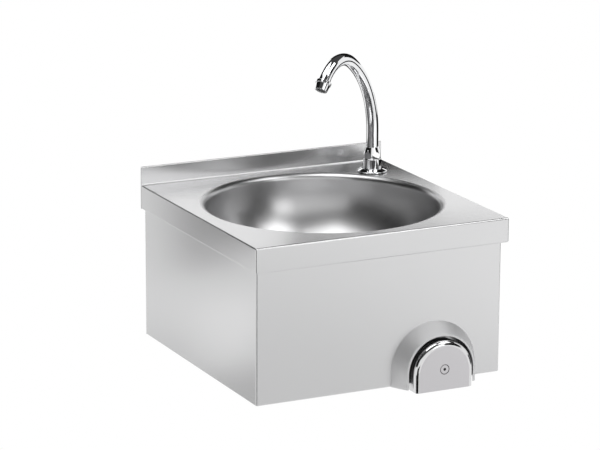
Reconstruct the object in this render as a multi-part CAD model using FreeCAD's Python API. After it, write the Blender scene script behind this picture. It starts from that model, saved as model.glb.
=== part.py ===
import FreeCAD, Part
import os
from math import atan2, cos, degrees, pi, radians, sin, sqrt, tan

# Wall-hung stainless steel hand wash sink. A knee pushes the button at the front,
# the valve behind it opens, and mixed water runs up a hose to the swan-neck spout.
#
# Frame, in millimetres: +X to the user's right, +Y into the wall, +Z up. The origin
# is the centre of the four wall holes, on the wall plane.

V = FreeCAD.Vector
RIGHT, TO_WALL, UP = V(1, 0, 0), V(0, 1, 0), V(0, 0, 1)
AXIS_FIT = 0.05           # radial clearance of a shaft that turns or slides in its hole
LOOSE = 0.6               # radial clearance of a bolt or shank in a sheet hole
SEAT_GAP = 0.05           # between faces of two bodies that rest on each other
NUT_FACE = 0.95           # round face of a nut, as a share of its flats

# --- sheet metal
SHEET = 1.2               # thickness of the deck, the bowl and the skirt
BEND_R = 2.4              # outer radius of a folded edge
FOLD_GAP = 0.6            # air gap inside a hem

# --- bowl
BOWL_R = 179.0            # where the lip leaves the flat deck
LIP_R = 9.0               # convex radius of the lip
NECK_H = 9.0              # straight wall below the lip
SIDE_R = 100.0            # radius of the bowl's side, in section
BOTTOM_R = 220.0          # radius of the bowl's bottom, in section
RECESS_R = 38.0           # recess that the grid lies in
RECESS_H = 3.0
RECESS_SLOPE = 2.0        # how much narrower the recess is at its floor
OUTLET_R = 26.0           # hole in the recess

# --- deck
SIDE_MARGIN = 21.0        # deck left and right of the bowl
FRONT_MARGIN = 17.0       # deck in front of the bowl
BACK_MARGIN = 25.0        # deck and upstand behind the bowl
APRON_H = 36.0            # height of the deck's folded edge
UPSTAND_H = 28.0          # height of the edge at the wall, above the deck
UPSTAND_FOOT_R = 2.0      # inside bend between deck and upstand

# --- skirt
BOX_H = 231.0             # from the deck's top to the bottom of the skirt
SIDE_INSET = 6.2          # skirt behind the apron, left and right
FRONT_INSET = 11.0        # skirt behind the apron, at the front
RETURN_W = 12.0           # lower return, folded inwards
FLANGE_W = 27.6           # flanges against the wall
WALL_HOLES_BELOW_DECK = 130.0
WALL_HOLE_SPACING_Z = 140.0
WALL_HOLE_R = 4.25

# --- waste
GRID_R = 35.0
GRID_T = 1.5
SEAL_T = 1.0              # thin seal under the grid
GRID_HOLE_R = 2.6
GRID_RINGS = ((11.5, 6), (19.5, 12))   # hole circle radius, number of holes
WASTE_SCREW_R = 4.0
WASTE_SCREW_HEAD_R = 6.5
WASTE_SCREW_HEAD_H = 2.5
WASTE_SCREW_L = 26.0
THICK_SEAL_T = 3.0
WASTE_FLANGE_R = 34.0
WASTE_FLANGE_T = 4.0
WASTE_WALL = 3.0
WASTE_CUP_H = 12.0
WASTE_CONE_H = 6.0
TAIL_R = 23.9             # G 1 1/2 thread
TAIL_L = 38.0
SPIDER_T = 3.0            # ribs that hold the waste's centre nut
SPIDER_HUB_R = 8.0
SPIDER_H = 8.0
SPIDER_ARMS = 3

# --- tap
TAP_BEARING = 42.0        # direction from the bowl's centre to the tap, in plan
TAP_LIP_GAP = 1.2         # between the rosette and the bowl's lip
ROSETTE_R = 23.0
ROSETTE_TOP_R = 16.0
ROSETTE_RIM_H = 1.5
ROSETTE_H = 4.8
GASKET_T = 0.8
GASKET_INSET = 0.8
SHANK_R = 10.4
SHANK_BORE_R = 6.0
COLUMN_R = 13.6
COLUMN_H = 15.0
SPIGOT_R = 11.6           # thread on top of the column, under the gland nut
SPIGOT_H = 5.0
SOCKET_DEPTH = 17.6       # how deep the spout's foot goes into the column
COLUMN_CHAMFER = 0.8
GLAND_FLATS = 24.6        # across flats of the gland nut
GLAND_R = 13.8
GLAND_H = 17.4
GLAND_FOOT = 2.6          # lower cone of the gland nut
GLAND_BAND = 4.2          # straight part above it
GLAND_TOP_R = 10.0
GLAND_SKIRT_GAP = 0.2     # under the gland nut, above the column
CLAMP_R = 17.0
CLAMP_T = 2.0
BACKNUT_FLATS = 28.0
BACKNUT_H = 7.0
SHANK_L = 38.0            # below the deck's underside
HOSE_THREAD_R = 8.33      # G 3/8
HOSE_THREAD_L = 14.0

# --- spout
SPOUT_R = 9.0
SPOUT_WALL = 1.0
SPOUT_STRAIGHT_TOP = 60.6  # above the deck, where the first bend starts
BEND_1_R, BEND_1_ANGLE = 139.3, 59.1
BEND_2_R, BEND_2_ANGLE = 58.6, 84.9
SPOUT_SWING = 213.0       # direction of the spout at rest, about +Z from +X
FOOT_H = 10.5             # spout foot below the tube
FOOT_SPIGOT_H = 8.0
FOOT_BORE_R = 6.0
RING_W = 1.5              # snap ring
RING_R = 11.2
RING_GROOVE = 0.4
RING_PLAY = 0.2
RING_SLIT = 2.0
GLAND_WASHER_T = 1.5
O_RING_R = 0.9
O_RING_GROOVE = 1.0
O_RING_LEVELS = (3.0, 7.0)  # above the bottom of the foot

# --- aerator, along the spout's outlet
COLLAR_R = 11.75
COLLAR_L = 4.4
COLLAR_RIM = 0.6          # rounded edge of the collar
OUTLET_L = 10.2
OUTLET_TOP_R = 10.6
OUTLET_END_R = 9.2
OUTLET_BORE_R = 8.0
OUTLET_LIP = 1.2          # inward edge that holds the insert
INSERT_L = 6.5
INSERT_RIB_T = 1.0
INSERT_RINGS = (2.2, 4.2, 6.0)
WASHER_T = 1.4
WASHER_BORE_R = 5.5

# --- cowl round the knee button
KNEE_X = 85.6             # button's centre, right of the middle
ARCH_ABOVE_BOTTOM = 21.4  # arch centre above the bottom of the skirt
HOOD_FOOT_R = 68.0
HOOD_TOP_R = 54.9
HOOD_DEPTH = 25.0
HOOD_WALL = 1.4
HOOD_LIP_FILLET = 2.6
HOOD_MOUTH_R = 51.7
HOOD_FLANGE_W = 9.0
STUD_R = 2.0
STUD_L = 11.0
STUD_ANGLES = (10.0, 90.0, 170.0)
STUD_NUT_FLATS = 7.0
STUD_NUT_H = 3.2

# --- knee button
BUTTON_GAP = 4.7          # between the button and the cowl's mouth
BUTTON_PROUD = 10.3       # how far it stands out of the cowl
BUTTON_WALL = 1.5
BUTTON_EDGE_R = 6.0
BUTTON_BELOW_BOX = 3.6    # its lower edge hangs below the skirt
BUTTON_CORNER_R = 3.0
BUTTON_TRAVEL = 10.0
BUTTON_RIM_GAP = 5.0      # left between the cup's rim and the panel when it is pushed in
ROD_ABOVE_ARCH = 5.6
BOSS_R = 12.0
BOSS_T = 6.0
SCREW_HEAD_R = 7.0
SCREW_HEAD_H = 4.0
SCREW_RECESS = 0.2
SCREW_R = 3.0
SCREW_L = 18.0
SOCKET_FLATS = 4.0
SOCKET_H = 2.6

# --- knee valve; positions along its axis are counted from the panel's front face,
#     positive towards the wall
ROD_R = 5.0
STEM_R = 3.5
NECK_R = 13.0
NECK_PROUD = 2.0          # neck in front of its nut
GUIDE_END = 12.0
ROD_STEP = 2.0            # rod's shoulder behind the guide
VALVE_WASHER_T = 1.5
VALVE_SHOULDER_R = 19.0
VALVE_SHOULDER_T = 5.0
VALVE_R = 16.0
VALVE_END = 80.0
CHAMBER_R = 10.5
SEAT_POS = 36.0
SEAT_T = 4.0
SEAT_HOLE_R = 6.5
REAR_CHAMBER_R = 11.5
DISC_R = 9.5
DISC_T = 3.0
DISC_WASHER_R = 8.5
DISC_WASHER_T = 1.5
DISC_NUT_FLATS = 7.0
DISC_NUT_H = 3.2
ROD_SEAL_R = 1.0
ROD_SEAL_POS = 6.0
FRONT_NUT_FLATS = 34.0
FRONT_NUT_H = 7.0
SPRING_WIRE_R = 0.7
SPRING_MEAN_R = 6.8
SPRING_TURNS = 5
SEAL_SIDES = 8            # flats round the section of a seal ring or a hidden spring's wire
PORT_R = 9.0
PORT_BORE_R = 4.5
PORT_REACH = 30.0         # from the valve's axis to the end of the outlet port

# --- inlet tee and check valves
TEE_SPIGOT_L = 10.0
TEE_SPIGOT_BORE_R = 7.0
TEE_FLANGE_R = 16.0
TEE_FLANGE_T = 5.0
TEE_HALF = 10.0           # half the side of the tee's square bar
TEE_CHAMFER = 0.6
TEE_BORE_R = 6.5
INLET_SPREAD = 28.0       # each inlet left or right of the valve's axis
STUB_R = 9.2
STUB_BORE_R = 5.8
STUB_L = 18.0
TEE_SEAL_R = 1.1
CHECK_FLATS = 22.0
CHECK_HEX_L = 14.0
INLET_THREAD_R = 10.48    # G 1/2
INLET_THREAD_L = 16.0
INLET_CHAMFER = 1.0
CARTRIDGE_R = 6.3
CARTRIDGE_L = 11.0
CARTRIDGE_BORE_R = 4.2
FILTER_T = 1.2
FILTER_HOLE_R = 1.3
FILTER_RING_R = 3.8
FILTER_HOLES = 6

# --- hose from the valve to the tap
ELBOW_R = 8.0
ELBOW_X = 57.4            # elbow's corner, right of the valve's axis
ELBOW_LEG = 12.0
HOSE_R = 6.0
HOSE_BORE_R = 4.0
HOSE_NUT_FLATS = 20.0
HOSE_NUT_L = 16.0
HOSE_WASHER_T = 1.5
FERRULE_L = 18.0
FERRULE_T = 1.4
HOSE_FIRST_RUN = 78.0     # straight out of the elbow
HOSE_LAST_RUN = 76.0      # straight up into the tap
HOSE_SAG = 6.0            # lowest bend below the elbow
HOSE_SWING = (7.0, 80.0)  # from the first bend to the second, right and back
HOSE_HEEL = (54.0, 13.0)  # from the tap's axis to the third bend, forward and up

# --- places that follow from the sizes above
SINK_W = 2 * (BOWL_R + SIDE_MARGIN)
SINK_D = FRONT_MARGIN + 2 * BOWL_R + BACK_MARGIN
DECK_Z = WALL_HOLES_BELOW_DECK
BOX_BOTTOM = DECK_Z - BOX_H
UNDER_DECK = DECK_Z - SHEET
UPSTAND_T = 2 * SHEET + FOLD_GAP
HALF_BOX = SINK_W / 2 - SIDE_INSET
PANEL_Y = -SINK_D + FRONT_INSET
BOWL_AT = V(0, -SINK_D + FRONT_MARGIN + BOWL_R, DECK_Z)
WALL_HOLE_X = HALF_BOX - FLANGE_W / 2
TAP_REACH = BOWL_R + TAP_LIP_GAP + ROSETTE_R
TAP_AT = BOWL_AT + V(cos(radians(TAP_BEARING)), sin(radians(TAP_BEARING)), 0) * TAP_REACH
COLUMN_FOOT = GASKET_T + ROSETTE_H
COLUMN_TOP = COLUMN_FOOT + COLUMN_H
SPIGOT_TOP = COLUMN_TOP + SPIGOT_H
FOOT_BOTTOM = SPIGOT_TOP - SOCKET_DEPTH + SEAT_GAP
TUBE_BOTTOM = FOOT_BOTTOM + FOOT_H
RING_BOTTOM = SPIGOT_TOP + RING_PLAY
WASHER_BOTTOM = RING_BOTTOM + RING_W + RING_PLAY
SHANK_BOTTOM = -SHEET - SHANK_L
ARCH_Z = BOX_BOTTOM + ARCH_ABOVE_BOTTOM
ROD_Z = ARCH_Z + ROD_ABOVE_ARCH
BUTTON_R = HOOD_MOUTH_R - BUTTON_GAP
BUTTON_FRONT = -(HOOD_DEPTH + BUTTON_PROUD)
BUTTON_DEPTH = HOOD_DEPTH + BUTTON_PROUD - BUTTON_TRAVEL - BUTTON_RIM_GAP
BUTTON_FOOT = BOX_BOTTOM - BUTTON_BELOW_BOX
BOSS_BACK = BUTTON_FRONT + BUTTON_WALL + BOSS_T
NECK_FRONT = -FRONT_NUT_H - NECK_PROUD
ROD_SHOULDER = GUIDE_END + ROD_STEP
PORT_POS = (GUIDE_END + SEAT_POS) / 2
DISC_POS = SEAT_POS + SEAT_T + SEAT_GAP
DISC_WASHER_POS = DISC_POS + DISC_T
DISC_NUT_POS = DISC_WASHER_POS + DISC_WASHER_T
TEE_POS = VALVE_END + TEE_FLANGE_T + TEE_HALF
TEE_SPIGOT_POS = VALVE_END - TEE_SPIGOT_L
CHECK_POS = TEE_POS + STUB_L
RECESS_TOP = -(BOTTOM_R - sqrt(BOTTOM_R ** 2 - RECESS_R ** 2))


def box(x0, x1, y0, y1, z0, z1):
    """Solid block between two corners."""
    return Part.makeBox(x1 - x0, y1 - y0, z1 - z0, V(x0, y0, z0))


def cylinder(radius, start, end):
    """Solid round bar between two points."""
    along = end - start
    return Part.makeCylinder(radius, along.Length, start, along)


def pipe(outer_r, inner_r, start, end):
    """Round bar with a bore."""
    return cylinder(outer_r, start, end).cut(cylinder(inner_r, start, end))


def hexagon(flats, start, end):
    """Hexagonal bar between two points, measured across its flats."""
    corner = flats / 2 / cos(pi / 6)
    points = [V(corner * cos(k * pi / 3), corner * sin(k * pi / 3), 0) for k in range(7)]
    along = end - start
    bar = Part.Face(Part.makePolygon(points)).extrude(V(0, 0, along.Length))
    bar.Placement = FreeCAD.Placement(start, FreeCAD.Rotation(UP, along))
    return bar


def nut(flats, bore_r, start, end):
    """Hexagonal nut whose corners are chamfered at both ends."""
    along = end - start
    corner, face = flats / 2 / cos(pi / 6), flats / 2 * NUT_FACE
    length, slope = along.Length, (corner - face) / 2
    points = [(0, 0), (face, 0), (corner, slope), (corner, length - slope), (face, length), (0, length)]
    blank = turned(points, start, along)
    return hexagon(flats, start, end).common(blank).cut(cylinder(bore_r, start, end))


def turned(points, at, axis=UP):
    """Solid of revolution from a closed outline of (radius, height) points."""
    outline = Part.makePolygon([V(r, 0, h) for r, h in points + points[:1]])
    return revolved(outline, at, axis)


def revolved(outline, at, axis=UP):
    """Solid of revolution from a closed wire in the plane y = 0."""
    solid = Part.Face(outline).revolve(V(0, 0, 0), UP, 360)
    solid.Placement = FreeCAD.Placement(at, FreeCAD.Rotation(UP, axis))
    return solid


def seal_ring(mean_r, section_r, at, axis):
    """Sealing ring with a many-sided section whose flats touch the groove and the shaft."""
    corner_r = section_r / cos(pi / SEAL_SIDES)
    turns = [(2 * k + 1) * pi / SEAL_SIDES for k in range(SEAL_SIDES)]
    return turned([(mean_r + corner_r * cos(turn), corner_r * sin(turn)) for turn in turns], at, axis)


def fillet_where(shape, radius, chosen):
    """Round each edge whose bounding box passes the test."""
    return shape.makeFillet(radius, [edge for edge in shape.Edges if chosen(edge.BoundBox)])


def level(box_of_edge, z):
    """Whether an edge lies in the plane at height z."""
    return abs(box_of_edge.ZMin - z) < 0.01 and abs(box_of_edge.ZMax - z) < 0.01


def upright(box_of_edge):
    """Whether an edge runs straight up."""
    return box_of_edge.XLength < 0.01 and box_of_edge.YLength < 0.01


def joined(shapes):
    """One solid from shapes that touch or overlap."""
    return shapes[0].fuse(shapes[1:]).removeSplitter()


# ------------------------------------------------------------------ deck and bowl

def deck():
    """Top pressing: flat deck, folded aprons, hemmed upstand, bowl and tap holes."""
    half, back = SINK_W / 2, -(SHEET + FOLD_GAP)
    low = DECK_Z - APRON_H
    outer = box(-half, half, -SINK_D, back, low, DECK_Z)
    outer = fillet_where(outer, BEND_R, lambda b: b.YMin < back - 1 and (level(b, DECK_Z) or upright(b)))
    inner = box(-half + SHEET, half - SHEET, -SINK_D + SHEET, 0, low - 1, UNDER_DECK)
    inner = fillet_where(inner, BEND_R - SHEET,
                         lambda b: b.YMin < -1 and (level(b, UNDER_DECK) or upright(b)))
    shell = outer.cut(inner)
    lip = box(-half + SHEET / 2, half - SHEET / 2, -SINK_D + SHEET / 2, back, low, low + SHEET)
    lip = lip.cut(box(-HALF_BOX, HALF_BOX, PANEL_Y, 1, low - 1, low + SHEET + 1))
    sheet = joined([shell, lip, upstand()])
    sheet = sheet.cut(cylinder(BOWL_R, BOWL_AT - UP * SHEET * 2, BOWL_AT + UP))
    return sheet.cut(cylinder(SHANK_R + LOOSE, TAP_AT - UP * SHEET * 2, TAP_AT + UP))


def upstand():
    """Edge at the wall: up, over in a round hem, and down behind the deck."""
    half, top = SINK_W / 2, DECK_Z + UPSTAND_H - UPSTAND_T / 2
    front = box(-half, half, -UPSTAND_T, -UPSTAND_T + SHEET, UNDER_DECK, top)
    rear = box(-half, half, -SHEET, 0, DECK_Z - APRON_H, top)
    centre = V(-half, -UPSTAND_T / 2, top)
    hem = pipe(UPSTAND_T / 2, FOLD_GAP / 2, centre, centre + RIGHT * SINK_W)
    hem = hem.cut(box(-half - 1, half + 1, -UPSTAND_T, 0, top - UPSTAND_T, top))
    foot_r = UPSTAND_FOOT_R
    foot = box(-half, half, -UPSTAND_T - foot_r, -UPSTAND_T, DECK_Z, DECK_Z + foot_r)
    axis = V(-half, -UPSTAND_T - foot_r, DECK_Z + foot_r)
    foot = foot.cut(cylinder(foot_r, axis, axis + RIGHT * SINK_W))
    ends = [box(x, x + SHEET, -UPSTAND_T + SHEET / 2, -SHEET / 2, DECK_Z - APRON_H, top)
            for x in (-half, half - SHEET)]
    return joined([front, rear, hem, foot] + ends)


def bowl_outline(offset):
    """Section of the bowl from its lip to its outlet, as edges, offset to the dry side."""
    neck_r = BOWL_R - LIP_R
    neck_z = -LIP_R - NECK_H
    side_c = V(neck_r - SIDE_R, 0, neck_z)
    bottom_c = V(0, 0, neck_z + sqrt((BOTTOM_R - SIDE_R) ** 2 - (neck_r - SIDE_R) ** 2))
    lip_c = V(BOWL_R, 0, -LIP_R)
    lip, side, bottom = LIP_R - offset, SIDE_R + offset, BOTTOM_R + offset
    turn = (side_c - bottom_c).normalize()
    join = bottom_c + turn * bottom
    side_mid = side_c + (turn + RIGHT).normalize() * side
    lip_mid = lip_c + (UP - RIGHT).normalize() * lip
    recess_z = bottom_c.z - sqrt(BOTTOM_R ** 2 - RECESS_R ** 2)
    slope = atan2(RECESS_H, RECESS_SLOPE)
    rim_r = RECESS_R + offset * sin(slope)
    rim = V(rim_r, 0, bottom_c.z - sqrt(bottom ** 2 - rim_r ** 2))
    arc_mid_r = (rim_r + join.x) / 2
    arc_mid = V(arc_mid_r, 0, bottom_c.z - sqrt(bottom ** 2 - arc_mid_r ** 2))
    floor_z = recess_z - RECESS_H - offset
    corner = V(RECESS_R - RECESS_SLOPE + offset * tan(slope / 2), 0, floor_z)
    hole = V(OUTLET_R, 0, floor_z)
    neck_top, neck_low = V(neck_r + offset, 0, -LIP_R), V(neck_r + offset, 0, neck_z)
    return [
        Part.Arc(V(BOWL_R, 0, -offset), lip_mid, neck_top).toShape(),
        Part.LineSegment(neck_top, neck_low).toShape(),
        Part.Arc(neck_low, side_mid, join).toShape(),
        Part.Arc(join, arc_mid, rim).toShape(),
        Part.LineSegment(rim, corner).toShape(),
        Part.LineSegment(corner, hole).toShape(),
    ]


def end_points(edges):
    """First and last point of a bowl outline."""
    return edges[0].Vertexes[0].Point, edges[-1].Vertexes[-1].Point


def recess_floor():
    """Height of the recess floor, on the water side, below the deck."""
    return min(edge.BoundBox.ZMin for edge in bowl_outline(0))


def bowl():
    """Round pressing with a rolled lip, a domed bottom and a recess for the grid."""
    wet, dry = bowl_outline(0), bowl_outline(SHEET)
    (wet_lip, wet_hole), (dry_lip, dry_hole) = end_points(wet), end_points(dry)
    lip_edge = Part.LineSegment(wet_lip, dry_lip).toShape()
    hole_edge = Part.LineSegment(wet_hole, dry_hole).toShape()
    outline = Part.Wire(Part.__sortEdges__(wet + dry + [lip_edge, hole_edge]))
    return revolved(outline, BOWL_AT)


# ------------------------------------------------------------------ skirt

def cabinet_skirt():
    """Folded box under the deck: front and sides, wall flanges, lower return."""
    rim_z = DECK_Z - APRON_H
    outer = box(-HALF_BOX, HALF_BOX, PANEL_Y, 0, BOX_BOTTOM, UNDER_DECK)
    outer = fillet_where(outer, BEND_R, upright)
    inner_half = HALF_BOX - SHEET
    inner = box(-inner_half, inner_half, PANEL_Y + SHEET, -SHEET, BOX_BOTTOM - 1, UNDER_DECK + 1)
    inner = fillet_where(inner, BEND_R - SHEET, upright)
    shell = outer.cut(inner)
    open_half = HALF_BOX - FLANGE_W
    shell = shell.cut(box(-open_half, open_half, -SHEET * 3, 1, BOX_BOTTOM - 1, UNDER_DECK + 1))
    shell = shell.cut(box(-HALF_BOX - 1, HALF_BOX + 1, -UPSTAND_T - FOLD_GAP, 1,
                          rim_z - FOLD_GAP, UNDER_DECK + 1))
    fold = box(-inner_half - SHEET / 2, inner_half + SHEET / 2, PANEL_Y + SHEET / 2, -BEND_R * 2,
               BOX_BOTTOM, BOX_BOTTOM + SHEET)
    inside = HALF_BOX - RETURN_W
    fold = fold.cut(box(-inside, inside, PANEL_Y + RETURN_W, 1, BOX_BOTTOM - 1, BOX_BOTTOM + SHEET + 1))
    skirt = joined([shell, fold])
    holes = [cylinder(WALL_HOLE_R, V(x, -SHEET * 2, z), V(x, 1, z)) for x, z in wall_holes()]
    holes.append(cylinder(NECK_R + LOOSE, on_valve(-1), on_valve(SHEET + 1)))
    holes += [cylinder(STUD_R + LOOSE, point - TO_WALL, point + TO_WALL * SHEET * 2)
              for point in stud_places()]
    return skirt.cut(holes)


def wall_holes():
    """Four wall holes as (x, z)."""
    half_z = WALL_HOLE_SPACING_Z / 2
    return [(x, z) for x in (-WALL_HOLE_X, WALL_HOLE_X) for z in (-half_z, half_z)]


# ------------------------------------------------------------------ waste

def waste_level(depth):
    """Point on the outlet's axis, a depth below the recess floor's water side."""
    return BOWL_AT + UP * (recess_floor() - depth)


def waste_grid():
    """Round grid in the bowl's recess, countersunk for its screw."""
    bottom = waste_level(-SEAL_T)
    points = [(0, 0), (GRID_R, 0), (GRID_R, GRID_T / 2), (GRID_R - GRID_T, GRID_T), (0, GRID_T)]
    holes = [cylinder(WASTE_SCREW_R + AXIS_FIT, bottom - UP, bottom + UP * GRID_T * 2)]
    for circle_r, count in GRID_RINGS:
        for k in range(count):
            turn = 2 * pi * k / count
            at = bottom + V(cos(turn), sin(turn), 0) * circle_r
            holes.append(cylinder(GRID_HOLE_R, at - UP, at + UP * GRID_T * 2))
    return turned(points, bottom).cut(holes)


def waste_screw():
    """Slotted screw that pulls the grid and the waste body together."""
    head = waste_level(-SEAL_T - GRID_T)
    rim_r = WASTE_SCREW_HEAD_R - WASTE_SCREW_HEAD_H / 2
    points = [(0, 0), (WASTE_SCREW_HEAD_R, 0), (WASTE_SCREW_HEAD_R, WASTE_SCREW_HEAD_H / 3),
              (rim_r, WASTE_SCREW_HEAD_H), (0, WASTE_SCREW_HEAD_H)]
    top = head + UP * WASTE_SCREW_HEAD_H
    slot = box(top.x - WASTE_SCREW_HEAD_R, top.x + WASTE_SCREW_HEAD_R, top.y - LOOSE, top.y + LOOSE,
               top.z - WASTE_SCREW_HEAD_H / 2, top.z + 1)
    shank = cylinder(WASTE_SCREW_R, head - UP * WASTE_SCREW_L, head)
    return joined([turned(points, head), shank]).cut(slot)


def waste_top_seal():
    """Thin seal between the grid and the bowl."""
    return pipe(GRID_R - GRID_T, OUTLET_R + SEAL_T, waste_level(0), waste_level(-SEAL_T))


def waste_bottom_seal():
    """Thick seal between the bowl and the waste body."""
    return pipe(WASTE_FLANGE_R, OUTLET_R, waste_level(SHEET + THICK_SEAL_T), waste_level(SHEET))


def waste_body():
    """Cup under the bowl with a threaded tail and a spider for the screw."""
    top = waste_level(SHEET + THICK_SEAL_T)
    cup_r, bore_r = OUTLET_R + WASTE_WALL, TAIL_R - WASTE_WALL
    cup, cone, tail = -WASTE_CUP_H, -WASTE_CUP_H - WASTE_CONE_H, -WASTE_CUP_H - WASTE_CONE_H - TAIL_L
    outside = [(WASTE_FLANGE_R, 0), (WASTE_FLANGE_R, -WASTE_FLANGE_T), (cup_r, -WASTE_FLANGE_T),
               (cup_r, cup), (TAIL_R, cone), (TAIL_R, tail)]
    inside = [(bore_r, tail), (bore_r, cone), (OUTLET_R, cup), (OUTLET_R, 0)]
    reach, low = OUTLET_R + WASTE_WALL / 2, top.z - SPIDER_H
    arm = box(top.x, top.x + reach, top.y - SPIDER_T / 2, top.y + SPIDER_T / 2, low, top.z)
    arms = [arm.copy().rotate(top, UP, 360 / SPIDER_ARMS * k + 90) for k in range(SPIDER_ARMS)]
    hub = cylinder(SPIDER_HUB_R, V(top.x, top.y, low), top)
    screw_hole = cylinder(WASTE_SCREW_R, top - UP * SPIDER_H * 2, top + UP)
    return joined([turned(outside + inside, top), hub] + arms).cut(screw_hole)


# ------------------------------------------------------------------ tap

def on_tap(height):
    """Point on the tap's axis, above the deck's top face."""
    return TAP_AT + UP * height


def tap_gasket():
    """Flat gasket under the rosette."""
    return pipe(ROSETTE_R - GASKET_INSET, SHANK_R, on_tap(0), on_tap(GASKET_T))


def tap_rosette():
    """Low conical rosette that covers the tap hole."""
    top_edge = (ROSETTE_R - ROSETTE_TOP_R) * 0.12
    points = [(SHANK_R, 0), (ROSETTE_R, 0), (ROSETTE_R, ROSETTE_RIM_H),
              (ROSETTE_R - top_edge, ROSETTE_RIM_H + top_edge),
              (ROSETTE_TOP_R, ROSETTE_H), (SHANK_R, ROSETTE_H)]
    return turned(points, on_tap(GASKET_T))


def tap_column():
    """Turned column with a threaded shank below and a socket for the spout above."""
    foot, top, lip = COLUMN_FOOT, COLUMN_TOP, SPIGOT_TOP
    socket, shank, tail = SPIGOT_TOP - SOCKET_DEPTH, SHANK_BOTTOM, SHANK_BOTTOM - HOSE_THREAD_L
    socket_r, chamfer_r = SPOUT_R + AXIS_FIT, COLUMN_R - COLUMN_CHAMFER
    below = [(SHANK_BORE_R, tail), (HOSE_THREAD_R, tail), (HOSE_THREAD_R, shank), (SHANK_R, shank)]
    column = [(SHANK_R, foot), (chamfer_r, foot), (COLUMN_R, foot + COLUMN_CHAMFER),
              (COLUMN_R, top - COLUMN_CHAMFER), (chamfer_r, top), (SPIGOT_R, top), (SPIGOT_R, lip)]
    hollow = [(socket_r, lip), (socket_r, socket), (SHANK_BORE_R, socket)]
    return turned(below + column + hollow, TAP_AT)


def gland_nut():
    """Hexagonal nut with a conical top, which keeps the spout in the column."""
    low = COLUMN_TOP + GLAND_SKIRT_GAP
    band, top = low + GLAND_FOOT, low + GLAND_H
    thread_r, bore_r = SPIGOT_R + AXIS_FIT, SPOUT_R + AXIS_FIT
    shoulder = WASHER_BOTTOM + GLAND_WASHER_T
    foot_r = GLAND_R - GLAND_FOOT / 2
    points = [(0, low), (foot_r, low), (GLAND_R, band), (GLAND_R, band + GLAND_BAND),
              (GLAND_TOP_R, top), (0, top)]
    body = turned(points, TAP_AT).common(hexagon(GLAND_FLATS, on_tap(low), on_tap(top)))
    body = body.cut(cylinder(thread_r, on_tap(low - 1), on_tap(shoulder)))
    return body.cut(cylinder(bore_r, on_tap(low), on_tap(top + 1)))


def gland_washer():
    """Slip washer between the snap ring and the gland nut."""
    return pipe(SPIGOT_R, SPOUT_R + AXIS_FIT, on_tap(WASHER_BOTTOM), on_tap(WASHER_BOTTOM + GLAND_WASHER_T))


def tap_clamp_washer():
    """Washer against the deck's underside."""
    return pipe(CLAMP_R, SHANK_R, on_tap(-SHEET - CLAMP_T), on_tap(-SHEET))


def tap_backnut():
    """Nut that clamps the tap to the deck."""
    top = -SHEET - CLAMP_T
    return nut(BACKNUT_FLATS, SHANK_R, on_tap(top - BACKNUT_H), on_tap(top))


# ------------------------------------------------------------------ spout

def spout_point(reach, height):
    """Point in the spout's plane: reach from the tap's axis, height above the deck."""
    swing = radians(SPOUT_SWING)
    return on_tap(height) + V(cos(swing), sin(swing), 0) * reach


def spout_end():
    """End of the bent tube: its centre and the direction in which the water leaves."""
    a1, a2 = radians(BEND_1_ANGLE), radians(BEND_1_ANGLE + BEND_2_ANGLE)
    reach = BEND_1_R * (1 - cos(a1)) + BEND_2_R * (cos(a1) - cos(a2))
    height = SPOUT_STRAIGHT_TOP + BEND_1_R * sin(a1) + BEND_2_R * (sin(a2) - sin(a1))
    start = spout_point(reach, height)
    return start, spout_point(reach + sin(a2), height + cos(a2)) - start


def spout_path():
    """Centre line of the spout: straight, a wide bend, then a tighter one."""
    a1, a2 = radians(BEND_1_ANGLE), radians(BEND_2_ANGLE)

    def on_bend_1(angle):
        return spout_point(BEND_1_R * (1 - cos(angle)), SPOUT_STRAIGHT_TOP + BEND_1_R * sin(angle))

    def on_bend_2(angle):
        reach = BEND_1_R * (1 - cos(a1)) + BEND_2_R * (cos(a1) - cos(angle))
        rise = BEND_1_R * sin(a1) + BEND_2_R * (sin(angle) - sin(a1))
        return spout_point(reach, SPOUT_STRAIGHT_TOP + rise)

    edges = [
        Part.LineSegment(on_tap(TUBE_BOTTOM), on_tap(SPOUT_STRAIGHT_TOP)).toShape(),
        Part.Arc(on_bend_1(0), on_bend_1(a1 / 2), on_bend_1(a1)).toShape(),
        Part.Arc(on_bend_1(a1), on_bend_2(a1 + a2 / 2), on_bend_2(a1 + a2)).toShape(),
    ]
    return Part.Wire(edges)


def swept(path, radius):
    """Round bar along a path that starts upwards or along +Y."""
    start = path.Edges[0].valueAt(path.Edges[0].FirstParameter)
    along = path.Edges[0].tangentAt(path.Edges[0].FirstParameter)
    section = Part.Wire(Part.Circle(start, along, radius).toShape())
    return path.makePipeShell([section], True, False)


def spout_tube():
    """Bent tube with a groove for the snap ring."""
    path = spout_path()
    tube = swept(path, SPOUT_R).cut(swept(path, SPOUT_R - SPOUT_WALL))
    groove = pipe(SPOUT_R + 1, SPOUT_R - RING_GROOVE, on_tap(RING_BOTTOM), on_tap(RING_BOTTOM + RING_W))
    return tube.cut(groove)


def spout_foot():
    """Brass foot brazed into the tube, with two seal grooves."""
    low, top = FOOT_BOTTOM, TUBE_BOTTOM
    body = pipe(SPOUT_R, FOOT_BORE_R, on_tap(low), on_tap(top))
    plug = pipe(SPOUT_R - SPOUT_WALL, FOOT_BORE_R, on_tap(top), on_tap(top + FOOT_SPIGOT_H))
    foot = joined([body, plug])
    for height in O_RING_LEVELS:
        middle = low + height
        foot = foot.cut(pipe(SPOUT_R + 1, SPOUT_R - 2 * O_RING_R, on_tap(middle - O_RING_GROOVE),
                             on_tap(middle + O_RING_GROOVE)))
    return foot


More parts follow.
